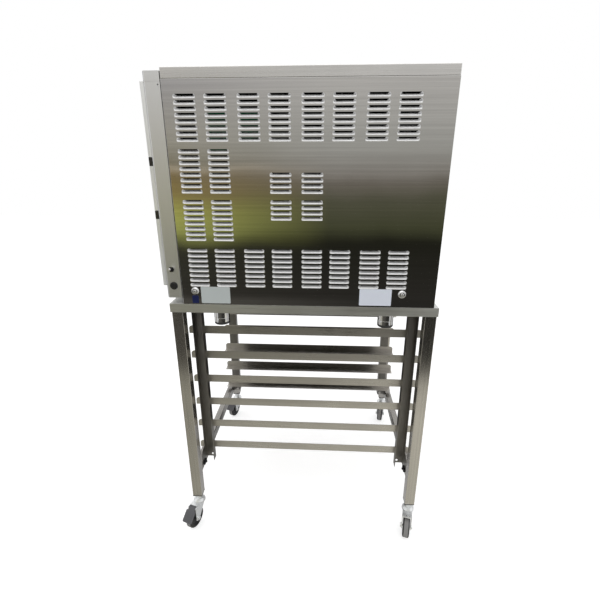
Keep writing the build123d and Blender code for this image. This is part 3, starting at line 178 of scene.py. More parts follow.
def named(piece, name):
    """Give a piece and its mesh the same name."""
    piece.name = name
    piece.data.name = name
    return piece


def settle(piece, location=(0, 0, 0), turn=(0, 0, 0)):
    """Turn and move a piece, then leave its place in its mesh."""
    piece.location = location
    piece.rotation_euler = turn
    only(piece)
    bpy.ops.object.transform_apply(location=True, rotation=True, scale=True)
    return piece


def copied(piece, name):
    """A copy with its own mesh."""
    only(piece)
    bpy.ops.object.duplicate(linked=False)
    return named(active(), name)


def joined(name, *pieces):
    """Several pieces made one."""
    only(*pieces)
    if len(pieces) > 1:
        bpy.ops.object.join()
    return named(active(), name)


def block(name, low, high, edge=0.0, segments=2):
    """A block between two corners with eased edges."""
    low, high = Vector(low), Vector(high)
    bpy.ops.object.select_all(action="DESELECT")
    bpy.ops.mesh.primitive_cube_add(size=1, location=(low + high) / 2)
    piece = active()
    piece.scale = high - low
    only(piece)
    bpy.ops.object.transform_apply(location=True, rotation=True, scale=True)
    named(piece, name)
    if edge:
        with editing(piece):
            bpy.ops.mesh.bevel(offset=edge, segments=segments, affect="EDGES", clamp_overlap=True)
    return piece


def plane(name, long, wide, centre, turn=(0, 0, 0)):
    """A flat piece of two lengths, turned and set around its centre."""
    bpy.ops.object.select_all(action="DESELECT")
    bpy.ops.mesh.primitive_plane_add(size=1)
    piece = named(active(), name)
    piece.scale = (long, wide, 1)
    return settle(piece, centre, turn)


def lathe(name, profile, steps=48, closed=False):
    """A turned piece on the Z axis from (radius, height) points in metres, each on from the last."""
    bpy.ops.object.select_all(action="DESELECT")
    bpy.ops.mesh.primitive_plane_add(size=0.001)
    piece = named(active(), name)
    points = [Vector((radius, 0.0, height)) for radius, height in profile]
    if closed:
        points.append(points[0])
    with editing(piece):
        bpy.ops.mesh.merge(type="CENTER")
        bpy.ops.transform.translate(value=points[0])
        for last, point in zip(points, points[1:]):
            bpy.ops.mesh.extrude_vertices_move(TRANSFORM_OT_translate={"value": point - last})
        take_all()
        bpy.ops.mesh.spin(steps=steps, angle=2 * math.pi, center=(0, 0, 0), axis=(0, 0, 1))
        take_all()
        bpy.ops.mesh.remove_doubles(threshold=2e-6)
        bpy.ops.mesh.dissolve_degenerate(threshold=1e-6)
        face_out()
    return piece


TURNS = {
    "X": (0, math.pi / 2, 0), "-X": (0, -math.pi / 2, 0),
    "Y": (-math.pi / 2, 0, 0), "-Y": (math.pi / 2, 0, 0), "Z": (0, 0, 0),
}


def turned(name, profile, centre, axis="Z", steps=48, closed=False):
    """A lathed piece from a profile in millimetres, set on an axis through a centre."""
    piece = lathe(name, [(radius * MM, height * MM) for radius, height in profile], steps, closed)
    return settle(piece, centre, TURNS[axis])


def modified(piece, kind, **values):
    """Apply one modifier to a piece."""
    change = piece.modifiers.new(kind.title(), kind)
    for key, value in values.items():
        setattr(change, key, value)
    only(piece)
    bpy.ops.object.modifier_apply(modifier=change.name)
    return piece


SHARP = math.radians(38.0)  # an edge that turns more than this is rounded
RING_SHAPED = ("front_surround", "door_gasket")  # flat rings, whose merged faces would close over the hole


def eased(piece, width, segments=2):
    """Round the sharp edges of a piece."""
    return modified(piece, "BEVEL", width=width, segments=segments, limit_method="ANGLE",
                    angle_limit=SHARP, use_clamp_overlap=True, miter_outer="MITER_ARC")


def dressed(node, name, edge, segments=2):
    """A merged copy of a CAD node with rounded edges."""
    only(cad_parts[node])
    bpy.ops.object.duplicate(linked=False)
    piece = named(active(), name)
    piece.parent = None
    for key in [key for key in piece.keys() if key.startswith("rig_")]:
        del piece[key]
    piece.data.materials.clear()
    with editing(piece):
        bpy.ops.mesh.remove_doubles(threshold=1e-5)
        bpy.ops.mesh.dissolve_limited(angle_limit=math.radians(1.0))
        if node in RING_SHAPED:
            take_all()
            bpy.ops.mesh.vert_connect_concave()
    if piece.data.has_custom_normals:
        bpy.ops.mesh.customdata_custom_splitnormals_clear()
    if edge:
        eased(piece, edge, segments)
    return piece


def give(piece, *finishes):
    """Add finishes to a piece's slots."""
    for finish in finishes:
        piece.data.materials.append(bpy.data.materials[finish])


def done(piece, body, finish, slot, *nodes, smooth=32.0):
    """Shade a finished piece, give it its finish, and hang it on its body."""
    only(piece)
    bpy.ops.object.shade_smooth_by_angle(angle=math.radians(smooth))
    modified(piece, "WEIGHTED_NORMAL", keep_sharp=True, weight=80)
    if finish:
        piece.data.materials.clear()
        give(piece, finish)
    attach(piece, body)
    if nodes:
        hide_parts(*nodes)
    return piece


# Finishes

def shader_of(name):
    """A new material's node tree and its shader."""
    material = bpy.data.materials.new(name)
    material.use_nodes = True
    tree = material.node_tree
    return tree, next(node for node in tree.nodes if node.type == "BSDF_PRINCIPLED")


def add(tree, kind, inputs=None, **settings):
    """A shader node with its settings, and each input linked or set."""
    node = tree.nodes.new("ShaderNode" + kind)
    for key, value in settings.items():
        setattr(node, key, value)
    for key, value in (inputs or {}).items():
        if isinstance(value, bpy.types.NodeSocket):
            tree.links.new(value, node.inputs[key])
        else:
            node.inputs[key].default_value = value
    return node


def noise(tree, vector, scale, detail=3.0, rough=0.55):
    """A noise pattern's value."""
    inputs = {"Vector": vector, "Scale": scale, "Detail": detail, "Roughness": rough}
    return add(tree, "TexNoise", inputs).outputs["Fac"]


def spread(tree, value, low, high, start=0.3, end=0.7):
    """A pattern's middle range mapped to a low and a high value."""
    inputs = {"Value": value, "From Min": start, "From Max": end, "To Min": low, "To Max": high}
    return add(tree, "MapRange", inputs).outputs["Result"]


def point_of(tree):
    """A point's place on its own piece."""
    return add(tree, "TexCoord").outputs["Object"]


def maths(tree, operation, first, second):
    """Two values worked into one."""
    return add(tree, "Math", {0: first, 1: second}, operation=operation).outputs[0]


def bumped(tree, height, strength, distance, **more):
    """A surface's normal over a pattern of heights."""
    inputs = {"Height": height, "Strength": strength, "Distance": distance, **more}
    return add(tree, "Bump", inputs).outputs["Normal"]


def blend_of(tree, share, first, second):
    """Two colours mixed by a share."""
    node = add(tree, "Mix", data_type="RGBA")
    for socket, value in ((node.inputs[0], share), (node.inputs[6], first), (node.inputs[7], second)):
        if isinstance(value, bpy.types.NodeSocket):
            tree.links.new(value, socket)
        else:
            socket.default_value = value
    return node.outputs[2]


def tone(colour, share):
    """A colour made lighter or darker, with full alpha."""
    return tuple(min(1.0, channel * share) for channel in colour[:3]) + (1.0,)


GRAIN_STRETCH = 0.012  # a pattern's scale along the brushing


def brushed(name, colour, rough, grain="Y", streak=0.10, anisotropic=0.45, wobble=0.0, mottle=0.12,
            ridge=0.10, metallic=1.0):
    """Steel brushed along one axis, with cloudy patches and, on a wide sheet, a slight wobble."""
    tree, shader = shader_of(name)
    point = point_of(tree)
    stretch, axis = [1.0, 1.0, 1.0], [0.0, 0.0, 0.0]
    stretch["XYZ".index(grain)] = GRAIN_STRETCH
    axis["XYZ".index(grain)] = 1.0
    along = add(tree, "Mapping", {"Vector": point, "Scale": stretch}).outputs["Vector"]
    fine = noise(tree, along, 1100.0, 2.0)
    broad = noise(tree, along, 150.0, 3.0)
    cloud = noise(tree, point, 5.0, 4.0)
    lines = blend_of(tree, spread(tree, broad, 0.0, 1.0), tone(colour, 0.90), tone(colour, 1.05))
    patches = blend_of(tree, spread(tree, cloud, 0.0, mottle), lines, tone(colour, 0.55))
    tree.links.new(patches, shader.inputs["Base Color"])
    lined = spread(tree, fine, rough - streak * 0.5, rough + streak * 0.5)
    smudge = spread(tree, cloud, -0.12 * rough, 0.2 * rough)
    tree.links.new(maths(tree, "ADD", lined, smudge), shader.inputs["Roughness"])
    normal = bumped(tree, fine, ridge, 0.00015)
    if wobble:
        normal = bumped(tree, noise(tree, point, 7.0, 2.0), wobble, 0.004, Normal=normal)
    tree.links.new(normal, shader.inputs["Normal"])
    shader.inputs["Metallic"].default_value = metallic
    shader.inputs["Anisotropic"].default_value = anisotropic
    facing = add(tree, "NewGeometry").outputs["Normal"]
    across = add(tree, "VectorMath", {0: facing, 1: axis}, operation="CROSS_PRODUCT")
    tree.links.new(across.outputs["Vector"], shader.inputs["Tangent"])


def plated(name, colour, rough, dents=0.25, metallic=1.0, mottle=0.35):
    """Plated or polished metal with cloudy tarnish and a fine grainy skin."""
    tree, shader = shader_of(name)
    point = point_of(tree)
    cloud = noise(tree, point, 38.0, 5.0)
    grain = noise(tree, point, 900.0, 3.0)
    skin = blend_of(tree, spread(tree, cloud, 0.0, mottle), tone(colour, 1.04), tone(colour, 0.62))
    tree.links.new(skin, shader.inputs["Base Color"])
    tree.links.new(spread(tree, cloud, rough * 0.75, rough * 1.45), shader.inputs["Roughness"])
    tree.links.new(bumped(tree, grain, dents, 0.0002), shader.inputs["Normal"])
    shader.inputs["Metallic"].default_value = metallic


def moulded(name, colour, rough, scale=700.0, depth=0.0003, strength=0.3, fade=1.35, specular=0.5):
    """Plastic, rubber, wool or board with a grainy skin and slightly uneven colour."""
    tree, shader = shader_of(name)
    point = point_of(tree)
    cloud = noise(tree, point, 22.0, 4.0)
    grain = noise(tree, point, scale, 4.0, 0.65)
    skin = blend_of(tree, spread(tree, cloud, 0.0, 0.5), tone(colour, 1.0), tone(colour, fade))
    speck = blend_of(tree, spread(tree, grain, 0.0, 0.25, 0.45, 0.8), skin, tone(colour, 0.7))
    tree.links.new(speck, shader.inputs["Base Color"])
    tree.links.new(spread(tree, cloud, rough * 0.88, min(1.0, rough * 1.15)), shader.inputs["Roughness"])
    tree.links.new(bumped(tree, grain, strength, depth), shader.inputs["Normal"])
    shader.inputs["Specular IOR Level"].default_value = specular


def glazed(name, colour, rough, transmission):
    """Glass with faint smears."""
    tree, shader = shader_of(name)
    point = point_of(tree)
    smear = noise(tree, point, 9.0, 5.0, 0.6)
    tint = blend_of(tree, spread(tree, smear, 0.0, 0.3), tone(colour, 1.0), tone(colour, 0.85))
    tree.links.new(tint, shader.inputs["Base Color"])
    tree.links.new(spread(tree, smear, rough, rough + 0.07), shader.inputs["Roughness"])
    shader.inputs["Transmission Weight"].default_value = transmission
    shader.inputs["IOR"].default_value = 1.5


class OVEN_OT_finishes(bpy.types.Operator):
    """Make the finishes of every piece"""

    bl_idname = "oven.finishes"
    bl_label = "Finishes"

    def execute(self, context):
        paint = colours()
        brushed("side_steel", paint.casing, 0.065, "Y", streak=0.03, wobble=0.05, anisotropic=0.2,
                mottle=0.04, ridge=0.01)
        # the louvre blades get a paler, matt copy of the panel steel: partly a rougher pressed surface,
        # partly painted light that makes them read bright
        plated("louvre_steel_painted_light", (0.80, 0.80, 0.80), 0.42, dents=0.05, metallic=0.25, mottle=0.1)
        brushed("cover_steel", tone(paint.casing, 1.12), 0.30, "Y", wobble=0.05)
        brushed("back_steel", paint.casing, 0.30, "X", wobble=0.08)
        brushed("front_steel", paint.front, 0.50, "Z", streak=0.14, anisotropic=0.2,
                mottle=0.05, metallic=0.25)
        brushed("door_steel", tone(paint.front, 0.95), 0.36, "Z", streak=0.14, mottle=0.05, metallic=0.4)
        brushed("upright_steel", tone(paint.stand, 1.05), 0.20, "Z", mottle=0.2)
        # the top frame is a lighter, cooler copy of the stand's steel: painted light on the frame
        brushed("frame_steel_painted_light", (0.76, 0.765, 0.745), 0.42, "Y", mottle=0.35)
        # the racks' posts are the runners' steel at half its tone: painted shade
        brushed("post_steel_painted_shade", tone(paint.stand, 0.5), 0.34, "Z", mottle=0.3)
        # the low cross rails are a darker copy of the stand's steel: painted shade under the oven
        brushed("rail_steel_painted_shade", tone(paint.stand, 0.62), 0.26, "X", mottle=0.25)
        brushed("runner_steel", tone(paint.stand, 1.1), 0.30, "Y", mottle=0.2)
        moulded("plate_silver", (0.50, 0.54, 0.53), 0.35, strength=0.05, fade=0.92)
        brushed("liner_steel", (0.50, 0.49, 0.47), 0.32, "Y", mottle=0.3)
        plated("zinc_plate", paint.zinc, 0.36, metallic=0.7, mottle=0.2)
        plated("polished_steel", (0.68, 0.66, 0.63), 0.10, dents=0.05, mottle=0.2)
        plated("dark_nickel", (0.05, 0.05, 0.05), 0.14, dents=0.05, mottle=0.2)
        plated("shelf_chrome", (0.72, 0.72, 0.73), 0.16, dents=0.08, mottle=0.2)
        plated("element_sheath", (0.16, 0.14, 0.13), 0.42, mottle=0.6)
        moulded("motor_paint", (0.03, 0.035, 0.04), 0.42)
        moulded("black_plastic", paint.black, 0.38)
        moulded("black_fixing", (0.014, 0.014, 0.015), 0.5)
        moulded("knob_black", paint.black, 0.30, strength=0.15)
        moulded("pedal_plastic", (0.055, 0.057, 0.064), 0.42)
        moulded("tread_rubber", paint.tread, 0.75, fade=1.2)
        moulded("wheel_black_and_painted_shade", (0.022, 0.022, 0.024), 0.45)
        moulded("seal_rubber", (0.02, 0.02, 0.021), 0.7)
        moulded("plate_white", (0.72, 0.76, 0.84), 0.4, strength=0.05, fade=0.95)
        moulded("plate_navy", (0.006, 0.012, 0.07), 0.45, strength=0.05, specular=0.25)
        moulded("mark_cream", (0.72, 0.69, 0.60), 0.5, strength=0.05, fade=0.95)
        moulded("glass_border", (0.008, 0.008, 0.009), 0.25, strength=0.05)
        plated("screw_steel", (0.66, 0.66, 0.66), 0.22, dents=0.1, mottle=0.25)
        moulded("insulation_wool", (0.55, 0.50, 0.36), 0.95, scale=350.0, depth=0.004, strength=0.9, fade=0.7)
        # the control board and the partition behind the louvres are near black: painted shade inside the
        # control compartment, the board keeping a trace of its green
        moulded("board_green", (0.0012, 0.0018, 0.0013), 0.7, strength=0.1, specular=0.03)
        moulded("compartment_painted_shade", (0.004, 0.004, 0.004), 0.8, strength=0.1, specular=0.1)
        moulded("cream_plastic", (0.62, 0.58, 0.47), 0.45)
        glazed("door_glass", (0.40, 0.42, 0.42), 0.02, 0.96)
        glazed("lamp_glass", (0.90, 0.88, 0.80), 0.12, 0.85)
        return {"FINISHED"}


# Casing

LOUVRE_PITCH = 15.2
LOUVRE_COLUMNS = (28.5, 110.5, 198.5, 280.5, 368.5, 450.5, 538.5, 620.5)  # from the panel's front edge
LOUVRE_BLOCKS = (  # upper edge above the casing's base, columns, first louvre and louvre after the last
    (586.0, range(8), 0, 8), (450.0, (0, 1), 0, 8), (450.0, (3, 4), 4, 8),
    (315.0, (0, 1), 0, 8), (315.0, (3, 4), 0, 4), (174.5, range(8), 0, 8),
)
LOUVRE_COUNT = 176
CELL_EDGE = 0.4 * MM  # flat rim around a louvre inside its cell
LIP = 0.9 * MM  # flat rim of the pressed blade
BLADE_ROUND = 0.47  # rounding of the blade's ends, as a share of its height
BLADE_LENGTH = 0.955  # the blade's length inside its lip, as a share
BLADE_FOLDS = (0.33, 0.51)  # heights at which the blade folds, as shares
PRESSED = (1.45, 0.93, 1.3)  # the blade's growth inwards, along and upwards once it is tilted
BELLY = (1.3 * MM, 0, 0.45 * MM)  # how far the blade's middle is pressed back out
SLIT_ABOVE = 0.76  # share of the height over which the blade's back is open
CLOSE = 1e-5


def louvre_places():
    """Near end and lower edge of every louvre."""
    places = []
    for top, columns, first, last in LOUVRE_BLOCKS:
        for column in columns:
            for number in range(first, last):
                low = PANEL_BOX[0].z + (top - number * LOUVRE_PITCH) * MM - sizes().louvre_height
                places.append((PANEL_BOX[0].y + LOUVRE_COLUMNS[column] * MM, low))
    return places


def louvre_cell():
    """One louvre pressed into a flat cell that faces +X, its near lower corner at the origin."""
    size = sizes()
    width, height = size.louvre_width, size.louvre_height
    centre = (0, width / 2, height / 2)
    hinge = (0, width / 2, LIP)
    rim = plane("rim", height + 2 * CELL_EDGE, width + 2 * CELL_EDGE, centre, TURNS["X"])
    with editing(rim):
        bpy.ops.mesh.delete(type="ONLY_FACE")
    blade = plane("blade", height, width, centre, TURNS["X"])
    with editing(blade):
        bpy.ops.mesh.bevel(offset=height * BLADE_ROUND, segments=3, affect="VERTICES")
        bpy.ops.mesh.select_mode(type="FACE")
        take_all()
        bpy.ops.mesh.inset(thickness=LIP, use_boundary=True)
        bpy.ops.transform.resize(value=(1, BLADE_LENGTH, 1), center_override=(0, width / 2, 0))
        for share in BLADE_FOLDS:
            take_all()
            bpy.ops.mesh.bisect(plane_co=(0, 0, height * share), plane_no=(0, 0, 1))
        choose(blade, "VERT", lambda middle, way: LIP * 0.9 < middle.z < height - LIP * 0.9
               and abs(middle.y - width / 2) < width / 2 - LIP * 1.2)
        bpy.ops.transform.rotate(value=size.louvre_tilt, orient_axis="Y", center_override=hinge)
        bpy.ops.transform.resize(value=PRESSED, center_override=hinge)
        bpy.ops.transform.translate(value=(-LIP / 2, 0, 0))
        choose(blade, "VERT", lambda middle, way: -7.0 * MM < middle.x < -2.2 * MM)
        bpy.ops.transform.translate(value=BELLY)
    cell = joined("louvre_cell", blade, rim)
    with editing(cell):
        mesh = bmesh.from_edit_mesh(cell.data)
        bpy.ops.mesh.select_mode(type="EDGE")
        bpy.ops.mesh.select_all(action="DESELECT")
        for edge in mesh.edges:
            if len(edge.link_faces) < 2 and all(abs(vertex.co.x) < 1e-6 for vertex in edge.verts):
                edge.select_set(True)
        bmesh.update_edit_mesh(cell.data)
        bpy.ops.mesh.fill(use_beauty=True)
        choose(cell, "FACE", lambda middle, way: middle.x < -2.0 * MM and middle.z > height * SLIT_ABOVE
               and abs(middle.y - width / 2) < width * 0.3)
        bpy.ops.mesh.delete(type="FACE")
        face_out()
    # faces pressed in behind the panel's plane take the paler copy, painted light on the blades
    give(cell, "side_steel", "louvre_steel_painted_light")
    for face in cell.data.polygons:
        face.material_index = int(face.center.x < -0.05 * MM)
    return cell


class OVEN_OT_louvred_side(bpy.types.Operator):
    """Press the louvres into the right side panel and fold its edges"""

    bl_idname = "oven.louvred_side"
    bl_label = "Louvred side panel"

    def execute(self, context):
        size = sizes()
        low, high = PANEL_BOX
        step_z = COVER_BOX[0].z - 0.3 * MM
        places = louvre_places()
        if len(places) != LOUVRE_COUNT:
            self.report({"ERROR"}, "The louvres don't fill their blocks")
            raise RuntimeError("the louvres don't fill their blocks")
        centre = (high.x, (low.y + high.y) / 2, (low.z + step_z) / 2)
        sheet = plane("side_panel_louvred", step_z - low.z, high.y - low.y, centre, TURNS["X"])
        give(sheet, "side_steel")
        ys = sorted({round(y, 6) for y, _ in places})
        zs = sorted({round(z, 6) for _, z in places})
        cuts = [((0, y + side, 0), (0, 1, 0))
                for y in ys for side in (-CELL_EDGE, size.louvre_width + CELL_EDGE)]
        cuts += [((0, 0, z + side), (0, 0, 1))
                 for z in zs for side in (-CELL_EDGE, size.louvre_height + CELL_EDGE)]
        middles = [(y + size.louvre_width / 2, z + size.louvre_height / 2) for y, z in places]
        with editing(sheet):
            for point, way in cuts:
                take_all()
                bpy.ops.mesh.bisect(plane_co=point, plane_no=way)
            choose(sheet, "FACE", lambda middle, way: any(
                abs(middle.y - y) < 0.2 * MM and abs(middle.z - z) < 0.2 * MM for y, z in middles))
            bpy.ops.mesh.delete(type="FACE")
        form = louvre_cell()
        louvres = []
        for y, z in places:
            louvre = form.copy()
            louvre.data = form.data.copy()
            bpy.context.collection.objects.link(louvre)
            louvre.location = (high.x, y, z)
            louvres.append(louvre)
        bpy.data.objects.remove(form)
        only(*louvres, sheet)
        bpy.ops.object.join()
        with editing(sheet):
            bpy.ops.mesh.remove_doubles(threshold=2e-5)
            choose(sheet, "EDGE", lambda middle, way: abs(middle.y - low.y) < CLOSE)
            bpy.ops.mesh.extrude_region_move(TRANSFORM_OT_translate={"value": (-15 * MM, 0, 0)})
            choose(sheet, "EDGE", lambda middle, way: abs(middle.z - step_z) < CLOSE and abs(way.y) > 0.9)
            bpy.ops.mesh.extrude_region_move(TRANSFORM_OT_translate={"value": (-2.6 * MM, 0, 0)})
            bpy.ops.mesh.extrude_region_move(TRANSFORM_OT_translate={"value": (0, 0, 12 * MM)})
            corner = high.x - CLOSE
            choose(sheet, "EDGE", lambda middle, way: middle.x > corner and (
                abs(middle.y - low.y) < CLOSE or (abs(middle.z - step_z) < CLOSE and abs(way.y) > 0.9)))
            bpy.ops.mesh.bevel(offset=1.2 * MM, segments=3, affect="EDGES")
            face_out()
            mesh = bmesh.from_edit_mesh(sheet.data)
            flat = max(mesh.faces, key=lambda face: face.calc_area())
            if flat.normal.x < 0:
                bpy.ops.mesh.flip_normals()
        modified(sheet, "SOLIDIFY", thickness=0.9 * MM, offset=-1.0)
        done(sheet, ROOT, None, "casing_steel", "right_side_panel", smooth=35.0)
        return {"FINISHED"}


def seam_cut(piece, z, low_x):
    """A thin groove across the outside of the control box at one height."""
    front = PANEL_BOX[0].y - 40 * MM
    with editing(piece):
        for edge in (z - 0.35 * MM, z + 0.35 * MM):
            take_all()
            bpy.ops.mesh.bisect(plane_co=(0, 0, edge), plane_no=(0, 0, 1))
        choose(piece, "FACE", lambda middle, way: abs(middle.z - z) < 0.3 * MM and (
            (way.x > 0.3 and middle.x > low_x) or (way.y < -0.3 and middle.y < front)))
        bpy.ops.mesh.extrude_region_shrink_fatten(TRANSFORM_OT_shrink_fatten={"value": -0.7 * MM})


class OVEN_OT_casing(bpy.types.Operator):
    """Fold the cover and ease the edges of the other casing sheets"""

    bl_idname = "oven.casing"
    bl_label = "Casing"

    def execute(self, context):
        size = sizes()
        low, high = COVER_BOX
        cover = block("top_cover_folded", low, high)
        with editing(cover):
            choose(cover, "FACE", lambda middle, way: way.z < -0.9)
            bpy.ops.mesh.delete(type="FACE")
            choose(cover, "EDGE", lambda middle, way: middle.z > low.z + 1e-4)
            bpy.ops.mesh.bevel(offset=2.0 * MM, segments=3, affect="EDGES")
            choose(cover, "EDGE", lambda middle, way: abs(middle.z - low.z) < CLOSE)
            bpy.ops.mesh.extrude_region_move(TRANSFORM_OT_translate={"value": (0, 0, 0)})
            bpy.ops.transform.resize(value=(0.9968, 0.9970, 1))
            choose(cover, "EDGE", lambda middle, way: abs(middle.z - low.z) < CLOSE and (
                abs(abs(middle.x - (low.x + high.x) / 2) - (high.x - low.x) / 2) < 1e-4
                or abs(abs(middle.y - (low.y + high.y) / 2) - (high.y - low.y) / 2) < 1e-4))
            bpy.ops.mesh.bevel(offset=0.8 * MM, segments=2, affect="EDGES")
            face_out()
        modified(cover, "SOLIDIFY", thickness=size.sheet, offset=-1.0)
        done(cover, ROOT, "cover_steel", "casing_steel", "top_cover")
        for node, finish, slot in (
            ("left_side_panel", "side_steel", "casing_steel"),
            ("back_panel", "back_steel", "casing_steel"),
            ("base_pan", "cover_steel", "casing_steel"),
            ("front_surround", "front_steel", "front_steel"),
            ("control_fascia", "front_steel", "front_steel"),
        ):
            sheet = dressed(node, f"{node}_folded", size.sheet_edge * 0.6)
            if node == "control_fascia":
                seam_cut(sheet, BASE_Z + 615.5 * MM, high.x - 7 * MM)
            done(sheet, ROOT, finish, slot, node)
        return {"FINISHED"}


# Fittings on the casing

CASING_SIDE = 367.5  # the casing's side faces from the stand's middle, in millimetres
CUP = (
    (5.0, 0), (12, 0), (12, 0.5), (11.2, 1.3), (9.4, 3.6), (8.4, 4.7), (7.4, 5.0), (6.4, 4.8), (5.4, 3.8),
    (5.0, 3.0),
)
CUP_HEAD = ((0, 0.5), (5.0, 0.5), (5.0, 4.4), (4.7, 5.0), (3.0, 6.2), (0, 6.8))
PAN_HEAD = ((0, 0), (4.2, 0), (4.2, 0.6), (3.6, 1.7), (2.2, 2.3), (0, 2.5))
CUP_PLACES = ((-329.0, 933.0), (300.0, 932.0))
BACK_SCREWS = [(x, z) for x in (-352, -176, 0, 176, 352) for z in (903, 1499)]


def cross_cut(head, top, reach, half_width):
    """Cut a cross recess into a screw's head; sizes in millimetres."""
    for x, y in ((reach, half_width), (half_width, reach)):
        cutter = block("cutter", (-x * MM, -y * MM, top * MM), (x * MM, y * MM, (top + 3) * MM))
        modified(head, "BOOLEAN", object=cutter, operation="DIFFERENCE")
        bpy.data.objects.remove(cutter)
    return head


class OVEN_OT_fittings(bpy.types.Operator):
    """Set the cup-washer screws, the back's screws and the bare plates on the casing"""

    bl_idname = "oven.fittings"
    bl_label = "Screws and plates"

    def execute(self, context):
        cup = turned("cup", CUP, (0, 0, 0), closed=True)
        screw = joined("cup_screw", cup, cross_cut(turned("head", CUP_HEAD, (0, 0, 0)), 5.1, 3.4, 0.75))
        cups = []
        for y, z in CUP_PLACES:
            for side, way in ((-1, "-X"), (1, "X")):
                cups.append(settle(copied(screw, "cup_screw"), place(side * CASING_SIDE, y, z), TURNS[way]))
        bpy.data.objects.remove(screw)
        done(joined("cup_screws", *cups), ROOT, "screw_steel", "zinc", "panel_screws")
        pan = cross_cut(turned("pan", PAN_HEAD, (0, 0, 0), steps=24), 1.2, 2.4, 0.5)
        pans = [settle(copied(pan, "pan_screw"), place(x, 399.0, z), TURNS["Y"]) for x, z in BACK_SCREWS]
        bpy.data.objects.remove(pan)
        done(joined("back_screws", *pans), ROOT, "screw_steel", "zinc")
        plates = []
        for name, y, z, finish in (
            ("plate_front", (-311, -221), (894, 947), "plate_silver"),
            ("plate_rear", (173, 269), (895, 947), "plate_white"),
            ("plate_tag", (-340, -320), (893.5, 918.5), "plate_navy"),
        ):
            plate = block(name, place(CASING_SIDE, y[0], z[0]), place(368.3, y[1], z[1]))
            with editing(plate):
                choose(plate, "EDGE", lambda middle, way: abs(way.x) > 0.9)
                bpy.ops.mesh.bevel(offset=2.4 * MM, segments=4, affect="EDGES")
                choose(plate, "FACE", lambda middle, way: way.x > 0.9)
                bpy.ops.mesh.inset(thickness=1.2 * MM, depth=0)
                bpy.ops.mesh.inset(thickness=0.3 * MM, depth=-0.25 * MM)
            give(plate, finish)
            plates.append(plate)
        done(joined("bare_plates", *plates), ROOT, None, "plate_aluminium", "blank_plates")
        return {"FINISHED"}


# Stand

POST_FACE = 60 * MM  # a rack's face taller than this is on a post, which takes the darker copy of the rack's steel as painted shade


TUBE_WALL = 1.5 * MM


def tube(name, low, high, axis, radius):
    """A square tube with rounded corners, open at both ends."""
    piece = block(name, low, high)
    with editing(piece):
        choose(piece, "EDGE", lambda middle, way: abs(way[axis]) > 0.9)
        bpy.ops.mesh.bevel(offset=radius, segments=4, affect="EDGES")
        choose(piece, "FACE", lambda middle, way: abs(way[axis]) > 0.9)
        bpy.ops.mesh.inset(thickness=TUBE_WALL, depth=0)
        bpy.ops.mesh.inset(thickness=0.02 * MM, depth=-14 * MM)
    return piece


class OVEN_OT_stand(bpy.types.Operator):
    """Build the stand's top frame, legs, cross rails, tray racks and their fixings"""

    bl_idname = "oven.stand"
    bl_label = "Stand"

    def execute(self, context):
        size = sizes()
        legs = [
            tube("leg", place(x - 17.5, y - 17.5, 122), place(x + 17.5, y + 17.5, 887), 2, size.tube_edge)
            for x in (-347, 347) for y in (-394.5, 394.5)
        ]
        done(joined("legs_tube", *legs), ROOT, "upright_steel", "stand_steel", "stand_legs")
        rails = [
            tube("rail", place(-329.5, y, 187.5), place(329.5, y + 26, 225.5), 0, size.tube_edge)
            for y in (-412, 386)
        ]
        done(joined("cross_rails_tube", *rails), ROOT, "rail_steel_painted_shade", "stand_steel", "lower_cross_rails")
        for node, name, finish, slot, edge in (
            ("stand_top_frame", "top_frame_angle", "frame_steel_painted_light", "stand_steel", 1.1 * MM),
            ("rack_fixings", "rack_bolts", "black_fixing", "black_fixing", 1.0 * MM),
            ("leg_plugs", "leg_plugs_moulded", "black_plastic", "black_plastic", 1.0 * MM),
        ):
            done(dressed(node, name, edge), ROOT, finish, slot, node)
        for side in ("right", "left"):
            rack = dressed(f"tray_rack_{side}", f"tray_rack_folded_{side}", 0.45 * MM)
            # post faces take the darker copy, painted shade; the runners keep the lighter steel
            give(rack, "runner_steel", "post_steel_painted_shade")
            for face in rack.data.polygons:
                heights = [rack.data.vertices[corner].co.z for corner in face.vertices]
                face.material_index = int(max(heights) - min(heights) > POST_FACE)
            done(rack, ROOT, None, "rack_steel", f"tray_rack_{side}")
        return {"FINISHED"}


# Castors, modelled with the swivel axis on Z and the wheel trailing towards +X

CASTOR_PLACES = {
    "front_right": (347, -394.5, -20), "front_left": (-347, -394.5, -20),
    "rear_right": (347, 394.5, -14), "rear_left": (-347, 394.5, -14),
}


def both_sides(half):
    """A wheel's profile from one half, mirrored to the other side."""
    return (*half, *((radius, -height) for radius, height in reversed(half)))


HUB = both_sides((
    (4.05, -12), (8.6, -12), (9.6, -11), (10.4, -7.6), (13, -7.2), (25.4, -7.2), (26.6, -8.2),
    (27.6, -11.2), (28.4, -11.9), (33.4, -11.9), (34.2, -11.3), (34.2, -10.4), (30.9, -10.2),
))
TREAD = both_sides((
    (31, -10.6), (34.4, -11.0), (36.4, -10.5), (37.5, -9.2), (38, -7.4), (38, -3.1), (37.6, -2.8),
    (37.6, -2.2), (38, -1.9),
))
CROWN = 7.2 * MM  # half the grey crown's width; the black shoulders beyond it are partly the wheel's dark sides and partly painted shade between wheel and fork
PEDAL_TOP = (63.96 * MM, 0, 67.99 * MM)  # a point on the pedal's upper face
PEDAL_SLOPE = math.radians(43)
PEDAL_RIBS = (-13, -6, 1, 8, 15, 20)  # along the pedal from over the wheel, in millimetres


